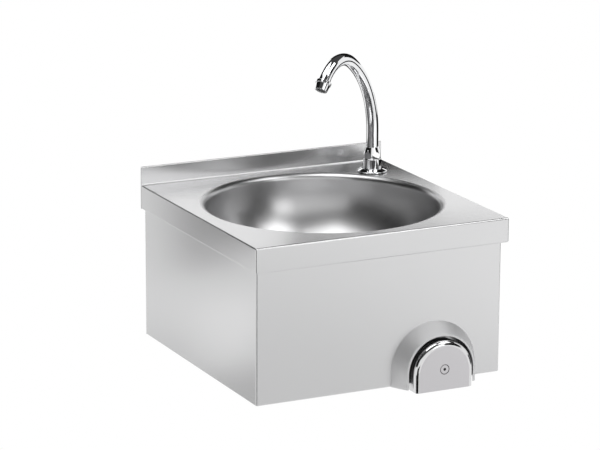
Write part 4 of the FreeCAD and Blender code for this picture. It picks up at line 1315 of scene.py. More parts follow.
@dataclass
class KneeButton(Assembly):
    """Cup that the knee pushes, with its boss, screw and push rod."""

    BODY: ClassVar[Body] = Body.BUTTON

    radius: float = 0.047
    front: float = 0.0353
    depth: float = 0.0203
    wall: float = 0.0015
    edge: float = 0.008
    foot: float = -0.1046
    corner: float = 0.003
    least_corner: float = 0.0012
    boss_r: float = 0.012
    boss_end: float = 0.0278
    head_r: float = 0.007
    gap: float = 0.0004
    head_h: float = 0.004
    recess: float = 0.0002
    screw_r: float = 0.003
    screw_l: float = 0.018
    screw_pitch: float = 0.001
    socket: float = 0.004
    socket_h: float = 0.0026
    rod_r: float = 0.005
    rod_waist: float = 0.0035
    rod_tip: float = 0.0025
    rod_step: float = 0.04005
    rod_end: float = 0.04875
    steps: int = 96

    def form(self, name: str, shrink: float, back: float) -> Piece:
        """Solid of the button's D shape with a rounded front edge.

        Args:
            name: Name of the new piece.
            shrink: How much smaller it is all round, and at the front.
            back: Distance of its rear face in front of the panel.

        Returns:
            The solid.
        """
        plan = self.layout
        radius, front, edge = self.radius - shrink, self.front - shrink, self.edge - shrink
        rounded = arc((radius - edge, front - edge), edge, 90, 0, 12)
        profile = [(0.0, front), *rounded, (radius, back), (0.0, back)]
        centre = plan.on_arch()
        spots = [centre + RIGHT * r - TO_WALL * out for r, out in profile]
        piece = chain(name, spots)
        bottom = self.foot + shrink
        with editing(piece):
            sweep(self.steps, math.pi, centre, -TO_WALL)
            tidy_mesh()
            pick("EDGE", lambda e: e.is_boundary)
            draw_out((0, 0, bottom - centre.z))
            bpy.ops.mesh.edge_face_add()
            tidy_mesh()
        corner, wide, high = max(self.corner - shrink, self.least_corner), radius + REACH, 0.1
        low_corners = [(radius, bottom, corner), (-radius, bottom, corner)]
        outline = eased([(wide, high), *low_corners, (-wide, high)], 6)
        outline = [outline[0], (radius, centre.z), *outline[1:-1], (-radius, centre.z), outline[-1]]
        spots = [Vector((plan.knee_x + x, plan.panel_y - back + 0.001, z)) for x, z in outline]
        trim = prism(name + "_trim", spots, -TO_WALL * 0.05)
        return carved(piece, trim, operation="INTERSECT")

    def cup(self) -> Piece:
        """Hollow cup with a countersunk hole and a boss behind its face.

        Returns:
            The cup, painted.
        """
        plan = self.layout
        back = self.front - self.depth
        piece = self.form("button_cup", 0.0, back)
        piece = carved(piece, self.form("button_hollow", self.wall, back - 0.002))
        face = plan.on_valve(-self.front)
        seat_r, seat_low = self.head_r + self.gap, self.recess + self.head_h
        seat = [(0, -0.001), (seat_r, -0.001), (seat_r, self.recess), (self.head_r, 0.0012),
                (self.screw_r, seat_low), (self.screw_r, 0.012), (0, 0.012)]
        piece = carved(piece, lathe("screw_seat", seat, face, TO_WALL, 64))
        start, end = self.wall - self.front, -self.boss_end
        boss = turned(
            "button_boss",
            [(self.screw_r + 0.0022, start), (self.boss_r, start), (self.boss_r, end, 0.0008),
             (self.screw_r, end), (self.screw_r, start + 0.0028)],
            plan.on_valve(0), TO_WALL, 64,
        )
        rim_y, face_y = plan.panel_y - back + 0.0002, plan.panel_y - self.front + 0.0001
        edge_r = self.radius - self.edge * 0.98

        def on_edge(face: bmesh.types.BMFace) -> bool:
            """Whether a face lies on the rounded edge or the side."""
            spot = face.calc_center_median()
            return face_y < spot.y < rim_y and self.outside(spot, edge_r)

        # The screw's seat gets near-black steel: painted shade for the shadow in the recess round
        # the head.
        in_seat = (PAINTED_SHADE_STEEL, lambda f: self.in_seat(f.calc_center_median()))
        piece = merged("knee_button_cup", [smooth(piece, 40), boss])
        return self.paint(piece, BUTTON_FACE, (BUTTON_EDGE, on_edge), in_seat)

    def from_axis(self, spot: Vector) -> float:
        """Distance of a point from the push rod's axis."""
        return math.hypot(spot.x - self.layout.knee_x, spot.z - self.layout.rod_z)

    def in_seat(self, spot: Vector) -> bool:
        """Whether a point lies on the screw's seat, behind the face."""
        face_y = self.layout.panel_y - self.front
        return self.from_axis(spot) < self.head_r + self.gap + 1e-4 and spot.y > face_y + 1e-5

    def outside(self, spot: Vector, radius: float) -> bool:
        """Whether a point lies outside the D shape of a radius, round the arch or its legs.

        Args:
            spot: The point.
            radius: The D shape's radius.

        Returns:
            True if it does.
        """
        across, up = abs(spot.x - self.layout.knee_x), spot.z - self.layout.arch_z
        if spot.z < self.foot + 0.0004:
            return True
        return across > radius if up < 0 else math.hypot(across, up) > radius

    def screw(self) -> Piece:
        """Countersunk socket screw.

        Returns:
            The screw, painted.
        """
        start = self.layout.on_valve(-self.front + self.recess)
        head_r, end = self.head_r - self.gap, self.screw_l
        outline = [(0, 0), (head_r - 0.0002, 0), (head_r, 0.0002), (head_r, 0.0009)]
        outline += [(self.screw_r, self.head_h)]
        outline += thread(self.screw_r, self.head_h + 0.0002, end - 0.0008, self.screw_pitch)
        outline += [(self.screw_r * 0.8, end), (0, end)]
        piece = lathe("button_socket_screw", outline, start, TO_WALL, 64)
        mouth, floor = start - TO_WALL * 0.002, start + TO_WALL * self.socket_h
        socket = bar("hex_socket", self.socket / 2 / HEXAGON, mouth, floor, 6)
        piece = smooth(carved(piece, socket), 40)
        front = start.y + 1e-5

        def shaded(face: bmesh.types.BMFace) -> bool:
            """Whether a face lies in the socket or in the gap round the head."""
            spot = face.calc_center_median()
            return spot.y > front and (self.in_socket(spot) or spot.y < front + 0.0009)

        # The socket and the gap round the head get near-black steel: painted shade.
        return self.paint(piece, BUTTON_FACE, (PAINTED_SHADE_STEEL, shaded))

    def in_socket(self, spot: Vector) -> bool:
        """Whether a point lies in the screw's socket."""
        depth = spot.y - (self.layout.panel_y - self.front + self.recess)
        return self.from_axis(spot) < self.socket * 0.6 and depth < self.socket_h + 1e-5

    def rod(self) -> Piece:
        """Stepped rod from the boss into the valve.

        Returns:
            The rod.
        """
        foot, wide, narrow, tip = -self.boss_end, self.rod_r, self.rod_waist, self.rod_tip
        step, end = self.rod_step, self.rod_end
        outline = eased(
            [(self.screw_r, foot), (wide, foot, 0.0004), (wide, 0.014, 0.0006), (narrow, 0.014),
             (narrow, step), (tip, step), (tip, end, 0.0004), (0, end)], 3,
        )
        outline += [(0, -0.0135), (self.screw_r, -0.0135)]
        return smooth(lathe("button_push_rod", outline, self.layout.on_valve(0), TO_WALL, 48), 40)

    def build(self) -> None:
        """Make every moving piece of the button."""
        self.dress(self.cup(), BUTTON_FACE, "knee_button")
        self.dress(self.screw(), BUTTON_FACE, "button_screw")
        self.dress(self.rod(), SMALL_STEEL, "push_rod")
        self.keep(RUBBER, "valve_disc")
        self.keep(BRASS, "disc_washer", "disc_nut")


# ---------------------------------------------------------------- tap


@dataclass
class Tap(Assembly):
    """Foot of the tap: gasket, rosette, column, gland nut and what clamps it."""

    rosette_r: float = 0.023
    rosette_top: float = 0.016
    rosette_h: float = 0.0048
    gasket: float = 0.0008
    column_r: float = 0.0136
    column_top: float = 0.0206
    spigot_r: float = 0.0116
    spigot_top: float = 0.0256
    shank_r: float = 0.0104
    shank_low: float = -0.0392
    shank_pitch: float = 0.0015
    tail_r: float = 0.00833
    bore_r: float = 0.006
    socket_r: float = 0.00905
    socket_low: float = 0.008
    nut_low: float = 0.0208
    nut_band: float = 0.0234
    nut_band_top: float = 0.0276
    nut_top: float = 0.0382
    nut_flats: float = 0.0246
    nut_r: float = 0.0138
    nut_top_r: float = 0.010
    nut_shelf: float = 0.029
    clamp_r: float = 0.017
    clamp_low: float = -0.0032
    lock_flats: float = 0.028
    lock_low: float = -0.0102

    def rosette(self) -> Piece:
        """Low domed cover over the tap hole.

        Returns:
            The cover.
        """
        base, top, edge_r = self.gasket, self.gasket + self.rosette_h, self.rosette_r
        corners = [
            (self.shank_r, base), (edge_r, base, 0.0002), (edge_r, base + 0.0018, 0.0007),
            (edge_r - 0.0011, base + 0.0024, 0.0006), (self.rosette_top, top, 0.0005),
            (self.shank_r, top),
        ]
        foot = self.layout.on_tap(0)
        return turned("tap_rosette_cover", corners, foot, steps=128, ease=5, angle=50)

    def column(self) -> Piece:
        """Turned column with its threaded shank and socket.

        Returns:
            The column.
        """
        foot, tail, under = self.gasket + self.rosette_h, self.layout.tap_tail, -self.layout.sheet
        outline = [(self.bore_r, tail), (self.tail_r - 0.0006, tail)]
        outline += thread(self.tail_r, tail + 0.0006, self.shank_low, SMALL_PIPE)
        outline += [(self.tail_r - 0.0008, self.shank_low), (self.shank_r - 0.0006, self.shank_low)]
        outline += thread(self.shank_r, self.shank_low + 0.0006, under, self.shank_pitch)
        outline += [(self.shank_r, foot)]
        outline += eased(
            [(self.shank_r, foot), (self.column_r, foot, 0.0008),
             (self.column_r, self.column_top, 0.0008), (self.spigot_r, self.column_top)], 4,
        )[1:]
        outline += [(self.spigot_r, self.spigot_top), (self.socket_r, self.spigot_top)]
        outline += [(self.socket_r, self.socket_low), (self.bore_r, self.socket_low)]
        return smooth(lathe("tap_column_turned", outline, self.layout.on_tap(0), steps=96), 40)

    def gland(self) -> Piece:
        """Hexagonal nut with a conical top.

        Returns:
            The nut.
        """
        plan, low, top = self.layout, self.nut_low, self.nut_top
        corner, inner, tube = self.nut_flats / 2 / HEXAGON, self.spigot_r + 0.00005, self.socket_r
        outline = [(0, low), (self.nut_r - 0.0013, low), (self.nut_r, self.nut_band),
                   (self.nut_r, self.nut_band_top), (self.nut_top_r, top), (0, top)]
        bore = [(0, low - 0.001), (inner, low - 0.001), (inner, self.nut_shelf),
                (tube, self.nut_shelf), (tube, top + 0.001), (0, top + 0.001)]
        blank = lathe("gland_blank", outline, plan.on_tap(0), steps=128)
        piece = bar("tap_gland_nut", corner, plan.on_tap(low - 0.002), plan.on_tap(top + 0.002), 6)
        piece = carved(piece, blank, operation="INTERSECT")
        piece = carved(piece, lathe("gland_bore", bore, plan.on_tap(0)))
        return smooth(softened(piece, 0.0003, 2, 20), 30)

    def build(self) -> None:
        """Make the tap's fixed pieces."""
        plan = self.layout
        seal = band(self.shank_r, self.rosette_r - 0.0008, 0, self.gasket, 0.0002)
        self.dress(turned("tap_gasket_ring", seal, plan.on_tap(0)), RUBBER, "tap_gasket")
        self.dress(self.rosette(), CHROME, "tap_rosette")
        self.dress(self.column(), CHROME, "tap_column")
        self.dress(self.gland(), CHROME, "gland_nut")
        clamp = band(self.shank_r, self.clamp_r, self.clamp_low, -plan.sheet, 0.0004)
        self.dress(turned("tap_clamp_plate", clamp, plan.on_tap(0)), BRASS, "tap_clamp_washer")
        low, high = plan.on_tap(self.lock_low), plan.on_tap(self.clamp_low)
        lock = smooth(nut("tap_lock_nut", self.lock_flats, self.shank_r, low, high))
        self.dress(lock, BRASS, "tap_backnut")
        self.keep(SLIP_PLASTIC, "gland_washer")


@dataclass
class Spout(Assembly):
    """Swan neck with its collar, outlet and ringed insert."""

    BODY: ClassVar[Body] = Body.SPOUT

    radius: float = 0.009
    wall: float = 0.001
    foot: float = 0.01855
    straight: float = 0.0606
    bends: tuple[tuple[float, float], ...] = ((0.1393, 59.1), (0.0586, 84.9))
    swing: float = 213.0
    collar_r: float = 0.01175
    collar_l: float = 0.0044
    outlet_l: float = 0.0102
    outlet_top: float = 0.0106
    outlet_end: float = 0.0092
    outlet_bore: float = 0.008
    lip: float = 0.0012
    insert_l: float = 0.0065
    insert_t: float = 0.001
    ring_radii: tuple[float, ...] = (0.008, 0.006, 0.0042, 0.0022)

    def bend_centres(self) -> tuple[list[Vector], Vector, Vector, Vector]:
        """Centres of the bends, the tube's end, its direction and the bending axis.

        Returns:
            The centres in order, the end, the direction there and the axis of the bends.
        """
        reach = Vector((math.cos(math.radians(self.swing)), math.sin(math.radians(self.swing)), 0))
        here, heading = self.layout.on_tap(self.straight), UP.copy()
        axis = UP.cross(reach)
        centres = []
        for radius, angle in self.bends:
            inward = axis.cross(heading)
            centre = here + inward * radius
            centres.append(centre)
            turn = Matrix.Rotation(math.radians(angle), 3, axis)
            here = centre + turn @ (here - centre)
            heading = turn @ heading
        return centres, here, heading, axis

    def tube(self) -> Piece:
        """Draw a ring up and round both bends, then give the wall its thickness.

        Returns:
            The tube.
        """
        plan = self.layout
        centres, _, _, axis = self.bend_centres()
        deselect()
        foot = plan.on_tap(self.foot)
        bpy.ops.mesh.primitive_circle_add(vertices=72, radius=self.radius, location=foot)
        bpy.ops.object.transform_apply(location=True)
        piece = named(bpy.context.object, "spout_swan_neck")
        with editing(piece):
            draw_out((0, 0, self.straight - self.foot))
            for centre, (_, angle) in zip(centres, self.bends):
                sweep(44, math.radians(angle), centre, axis)
            tidy_mesh()
        return smooth(shaped(piece, "SOLIDIFY", thickness=self.wall, offset=-1), 40, False)

    def at_end(self, name: str, corners: Corners, steps: int = 96) -> Piece:
        """Turn a piece about the outlet; heights count from the tube's end."""
        _, end, heading, _ = self.bend_centres()
        return turned(name, corners, end, heading, steps, 4)

    def build(self) -> None:
        """Make the spout's pieces."""
        self.dress(self.tube(), CHROME, "spout_tube")
        collar = band(self.radius - self.wall, self.collar_r, 0, self.collar_l, 0.0006)
        self.dress(self.at_end("spout_collar", collar), CHROME, "aerator_adapter")
        end, bore = self.collar_l + self.outlet_l, self.outlet_bore
        tip, inner = end - self.lip, bore - self.lip
        outlet = [(bore, self.collar_l), (self.outlet_top, self.collar_l, 0.0003),
                  (self.outlet_end, end, 0.0004), (inner, end, 0.0003), (inner, tip), (bore, tip)]
        self.dress(self.at_end("spout_outlet", outlet), CHROME, "aerator_housing")
        start, thick = tip - self.insert_l, self.insert_t
        parts = []
        for k, outer in enumerate(self.ring_radii):
            inner = outer - thick
            ring = [(inner, start), (outer, start), (outer, tip, 0.0002), (inner, tip, 0.0002)]
            parts.append(self.at_end(f"ring_{k}", ring, 48))
        plate = [(0, start), (bore, start), (bore, start + thick), (0, start + thick)]
        parts.append(self.at_end("plate", plate, 48))
        self.dress(merged("outlet_jet_insert", parts), INSERT_PLASTIC, "aerator_insert")
        self.keep(BRASS, "spout_foot", "spout_snap_ring")
        self.keep(RUBBER, "spout_o_rings", "aerator_washer")


# ---------------------------------------------------------------- waste


@dataclass
class Waste(Assembly):
    """Grid, seals, screw and the threaded body under the bowl."""

    grid_r: float = 0.035
    grid_t: float = 0.0015
    seal_t: float = 0.001
    hole_r: float = 0.0026
    hole_edge: float = 0.00012
    circles: tuple[tuple[float, int], ...] = ((0.0115, 6), (0.0195, 12))
    outlet_r: float = 0.026
    flange_r: float = 0.034
    flange_t: float = 0.004
    wall: float = 0.003
    cup_h: float = 0.012
    cone_h: float = 0.006
    tail_r: float = 0.0239
    tail_l: float = 0.038
    screw_r: float = 0.004
    screw_l: float = 0.026
    screw_pitch: float = 0.00125
    head_r: float = 0.0065
    head_h: float = 0.0025
    slot_w: float = 0.0012
    slot_h: float = 0.00125
    top_seal: tuple[float, float] = (0.027, 0.0335)
    low_seal_t: float = 0.003
    hub_r: float = 0.008
    hub_h: float = 0.008
    arm_half: float = 0.0015
    arm_h: float = 0.0078
    arm_reach: tuple[float, float] = (0.0075, 0.0275)

    def grid(self) -> Piece:
        """Round plate with two circles of holes.

        Returns:
            The grid.
        """
        plan, low = self.layout, self.layout.recess_floor + self.seal_t
        top, edge, clear = low + self.grid_t, self.hole_edge, 0.001
        outline = eased(
            [(0, low), (self.grid_r, low, 0.0002), (self.grid_r, low + self.grid_t * 0.5, 0.0003),
             (self.grid_r - self.grid_t, top, 0.0004), (0, top)], 3,
        )
        piece = lathe("waste_grid_plate", outline, plan.on_bowl(0))
        spots = [(Vector(), self.screw_r + 0.00005)]
        for circle, count in self.circles:
            for k in range(count):
                turn = TURN * k / count
                spots.append((Vector((math.cos(turn), math.sin(turn), 0)) * circle, self.hole_r))
        cutters = []
        for k, (spot, radius) in enumerate(spots):
            mouth = radius + 2 * edge
            outline = [(0, low - clear), (mouth, low - clear), (mouth, low - edge),
                       (radius, low + edge), (radius, top - edge), (mouth, top + edge),
                       (mouth, top + clear), (0, top + clear)]
            cutters.append(lathe(f"grid_hole_{k}", outline, plan.on_bowl(0) + spot, steps=40))
        return smooth(carved(piece, merged("grid_holes", cutters)), 50)

    def screw(self) -> Piece:
        """Slotted screw in the middle of the grid.

        Returns:
            The screw.
        """
        plan = self.layout
        head = plan.recess_floor + self.seal_t + self.grid_t
        low, top = head - self.screw_l, head + self.head_h
        outline = [(0, low), (self.screw_r * 0.8, low)]
        outline += thread(self.screw_r, low + 0.0006, head - 0.006, self.screw_pitch)
        outline += [(self.screw_r, head - 0.0055)]
        outline += eased([(self.screw_r, head), (self.head_r, head, 0.0003),
                          (self.head_r, head + self.head_h * 0.4, 0.0004),
                          (self.head_r - 0.0013, top, 0.0006), (0, top)], 4)
        piece = lathe("waste_slotted_screw", outline, plan.on_bowl(0), steps=64)
        half = self.slot_w / 2
        slot = slab("screw_slot", (-REACH, plan.bowl_y - half, top - self.slot_h),
                    (REACH, plan.bowl_y + half, top + 0.002))
        return smooth(carved(piece, slot), 40)

    def body(self) -> Piece:
        """Cup with a threaded tail and the three arms for the screw.

        Returns:
            The body.
        """
        plan = self.layout
        top = plan.recess_floor - plan.sheet - self.low_seal_t
        cup, cone = top - self.cup_h, top - self.cup_h - self.cone_h
        low, bore = cone - self.tail_l, self.tail_r - self.wall
        ledge, outer = top - self.flange_t, self.outlet_r + self.wall
        outline = eased(
            [(self.outlet_r, top), (self.flange_r, top, 0.0005), (self.flange_r, ledge, 0.0005),
             (outer, ledge, 0.0008), (outer, cup, 0.001), (self.tail_r, cone)], 3,
        )[:-1]
        outline += thread(self.tail_r, cone - 0.0004, low + 0.0008, WIDE_PIPE)
        outline += [(self.tail_r - 0.001, low), (bore, low), (bore, cone), (self.outlet_r, cup)]
        parts = [smooth(lathe("waste_cup", outline, plan.on_bowl(0)), 40)]
        foot, radius, thread_r = top - self.hub_h, self.hub_r, self.screw_r
        hub = [(thread_r, foot), (radius, foot, 0.0006), (radius, top), (thread_r, top)]
        parts.append(turned("waste_hub", hub, plan.on_bowl(0), steps=48))
        for k in range(3):
            turn = TURN * k / 3 + math.pi / 2
            way = Vector((math.cos(turn), math.sin(turn), 0))
            side = UP.cross(way) * self.arm_half
            near_end, far_end = (plan.on_bowl(foot) + way * reach for reach in self.arm_reach)
            spots = [near_end - side, far_end - side, far_end + side, near_end + side]
            arm = prism(f"waste_arm_{k}", spots, UP * self.arm_h)
            parts.append(smooth(softened(arm, 0.0004)))
        return merged("waste_tail_body", parts)

    def build(self) -> None:
        """Make the waste's pieces."""
        plan = self.layout
        self.dress(self.grid(), SMALL_STEEL, "waste_grid")
        self.dress(self.screw(), SMALL_STEEL, "waste_screw")
        self.dress(self.body(), WASTE_PLASTIC, "waste_body")
        floor, under = plan.recess_floor, plan.recess_floor - plan.sheet
        upper = band(*self.top_seal, floor, floor + self.seal_t, 0.0002)
        piece = turned("grid_thin_seal", upper, plan.on_bowl(0), ease=2)
        self.dress(piece, RUBBER, "waste_top_seal")
        lower = band(self.outlet_r, self.flange_r, under - self.low_seal_t, under, 0.0007)
        piece = turned("waste_thick_seal", lower, plan.on_bowl(0), ease=4)
        self.dress(piece, RUBBER, "waste_bottom_seal")


# ---------------------------------------------------------------- valve, inlets and hose


@dataclass
class Valve(Assembly):
    """Knee valve behind the panel, with the tee and the two inlets."""

    neck_r: float = 0.013
    neck_front: float = -0.009
    shoulder: float = 0.0027
    shoulder_r: float = 0.019
    shoulder_t: float = 0.005
    radius: float = 0.016
    end: float = 0.080
    port_r: float = 0.009
    port_root: float = 0.0118
    port_bore: float = 0.0045
    cap_bore: float = 0.0115
    pitch: float = 0.0015
    chambers: tuple[tuple[float, float], ...] = (
        (0.0115, 0.040), (0.0065, 0.040), (0.0065, 0.036),
        (0.0105, 0.036), (0.0105, 0.012), (0.00505, 0.012),
    )
    lock_flats: float = 0.034
    lock_front: float = -0.007
    tee_at: float = 0.095
    stem_at: tuple[float, float] = (0.070, 0.085)
    groove_r: float = 0.0093
    groove_at: tuple[float, float] = (0.0745, 0.0778)
    tee_half: float = 0.010
    tee_bore: float = 0.007
    tee_edge: float = 0.0006
    stub_r: float = 0.0092
    stub_bore: float = 0.0058
    spread: float = 0.028
    stub_l: float = 0.018
    hex_flats: float = 0.022
    hex_l: float = 0.014
    inlet_r: float = 0.01048
    inlet_l: float = 0.016
    inlet_bore: float = 0.0065
    spring_start: float = 0.04455
    spring_end: float = 0.070
    spring_r: float = 0.0068
    spring_turns: int = 5
    wire_r: float = 0.0007
    stroke: float = 0.010

    def body(self) -> Piece:
        """Turned body with its chambers and the outlet port.

        Returns:
            The body.
        """
        plan, back = self.layout, self.shoulder + self.shoulder_t
        outer = [(self.neck_r - 0.0006, self.neck_front)]
        outer += thread(self.neck_r, self.neck_front + 0.0005, self.shoulder, self.pitch)
        outer += [(self.neck_r, self.shoulder)]
        outer += eased(
            [(self.neck_r, self.shoulder), (self.shoulder_r, self.shoulder, 0.0004),
             (self.shoulder_r, back, 0.0006), (self.radius, back), (self.radius, self.end - 0.006),
             (self.radius, self.end, 0.0008), (self.cap_bore, self.end)], 4,
        )[1:-1]
        inner = [(self.cap_bore, self.end), *self.chambers, (self.chambers[-1][0], self.neck_front)]
        piece = smooth(lathe("knee_valve_body", outer + inner, plan.on_valve(0), TO_WALL), 40)
        port = [(self.port_bore, self.port_root), (self.port_r, self.port_root),
                (self.port_r, plan.port_reach, 0.0005), (self.port_bore, plan.port_reach)]
        side = turned("valve_port", port, plan.on_valve(plan.port_at), RIGHT, 64)
        return merged("knee_valve_body", [piece, side])

    def tee(self) -> Piece:
        """Spigot, flange, square bar and two stubs.

        Returns:
            The tee.
        """
        plan = self.layout
        bore, spigot, groove = self.tee_bore, self.cap_bore, self.groove_r
        (low, high), (tip, root), flange = self.groove_at, self.stem_at, self.radius
        stem = [(bore, tip), (spigot, tip, 0.0004), (spigot, low), (groove, low), (groove, high),
                (spigot, high), (spigot, self.end), (flange, self.end, 0.0005),
                (flange, root, 0.0008), (bore, root)]
        parts = [turned("tee_stem", stem, plan.on_valve(0), TO_WALL)]
        reach, half = self.spread + self.tee_half, Vector((0, self.tee_half, self.tee_half))
        low = plan.on_valve(self.tee_at, -reach) - half
        high = plan.on_valve(self.tee_at, reach) + half
        way = bar("tee_way", self.tee_bore, plan.on_valve(0), plan.on_valve(self.tee_at))
        parts.append(smooth(softened(carved(slab("tee_bar", low, high), way), self.tee_edge), 40))
        foot = self.tee_half - 0.0004
        for right in (-self.spread, self.spread):
            stub = [(self.stub_bore, foot), (self.stub_r, foot), (self.stub_r, self.stub_l),
                    (self.stub_bore, self.stub_l)]
            piece = lathe("tee_stub", stub, plan.on_valve(self.tee_at, right), TO_WALL, 64)
            parts.append(smooth(piece, 40))
        return merged("inlet_tee_cast", parts)

    def inlet(self, name: str, right: float) -> Piece:
        """Hexagon with a threaded tail.

        Args:
            name: Name of the new piece.
            right: Distance to the right of the valve's axis.

        Returns:
            The inlet.
        """
        plan, start = self.layout, self.tee_at + self.stub_l
        collar = start + self.hex_l
        block = nut(name + "_hex", self.hex_flats, self.inlet_bore, plan.on_valve(start, right),
                    plan.on_valve(collar, right))
        end = self.inlet_l
        outline = [(self.inlet_bore, -0.0005), (self.inlet_r - 0.001, -0.0005)]
        outline += thread(self.inlet_r, 0.0002, end - 0.001, PIPE)
        outline += [(self.inlet_r - 0.001, end), (self.inlet_bore, end)]
        tail = lathe(name + "_thread", outline, plan.on_valve(collar, right), TO_WALL)
        return merged(name, [smooth(block), smooth(tail, 40)])

    def spring(self) -> Piece:
        """Compression spring, wound as one wire round the valve's axis.

        Returns:
            The spring.
        """
        deselect()
        bpy.ops.mesh.primitive_circle_add(
            vertices=16, radius=self.wire_r, location=(self.spring_r, 0, 0),
            rotation=(math.pi / 2, 0, 0),
        )
        bpy.ops.object.transform_apply(location=True, rotation=True)
        piece = named(bpy.context.object, "valve_coil_spring")
        rise, steps = self.spring_end - self.spring_start - 2 * self.wire_r, self.spring_turns * 32
        shaped(
            piece, "SCREW", angle=TURN * self.spring_turns, screw_offset=rise, steps=steps,
            render_steps=steps, use_normal_calculate=True,
        )
        with editing(piece):
            pick("EDGE", lambda e: e.is_boundary)
            bpy.ops.mesh.fill()
            tidy_mesh()
        piece.rotation_euler = (-math.pi / 2, 0, 0)
        piece.location = self.layout.on_valve(self.spring_start + self.wire_r)
        activate(piece)
        bpy.ops.object.transform_apply(location=True, rotation=True)
        return smooth(piece, 60, False)

    def build(self) -> None:
        """Make the valve's fixed pieces."""
        plan = self.layout
        self.dress(self.body(), BRASS, "valve_body")
        front = plan.on_valve(self.lock_front)
        lock = nut("valve_lock_nut", self.lock_flats, self.neck_r, front, plan.on_valve(0))
        self.dress(smooth(lock), BRASS, "valve_front_nut")
        seal = band(self.neck_r, self.shoulder_r, plan.sheet, self.shoulder, 0.0002)
        piece = turned("valve_fibre_ring", seal, plan.on_valve(0), TO_WALL, ease=2)
        self.dress(piece, RUBBER, "valve_washer")
        self.dress(self.tee(), BRASS, "inlet_tee")
        for name, right in (("hot", -self.spread), ("cold", self.spread)):
            self.dress(self.inlet(f"{name}_inlet", right), BRASS, f"check_valve_{name}")
        self.keep(RUBBER, "rod_seal", "tee_seal")
        self.keep(SLIP_PLASTIC, "check_cartridges")
        self.keep(SMALL_STEEL, "inlet_filters")
        spring = self.dress(self.spring(), SMALL_STEEL, "return_spring")
        tuple(plan.on_valve(self.spring_end))
        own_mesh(spring)


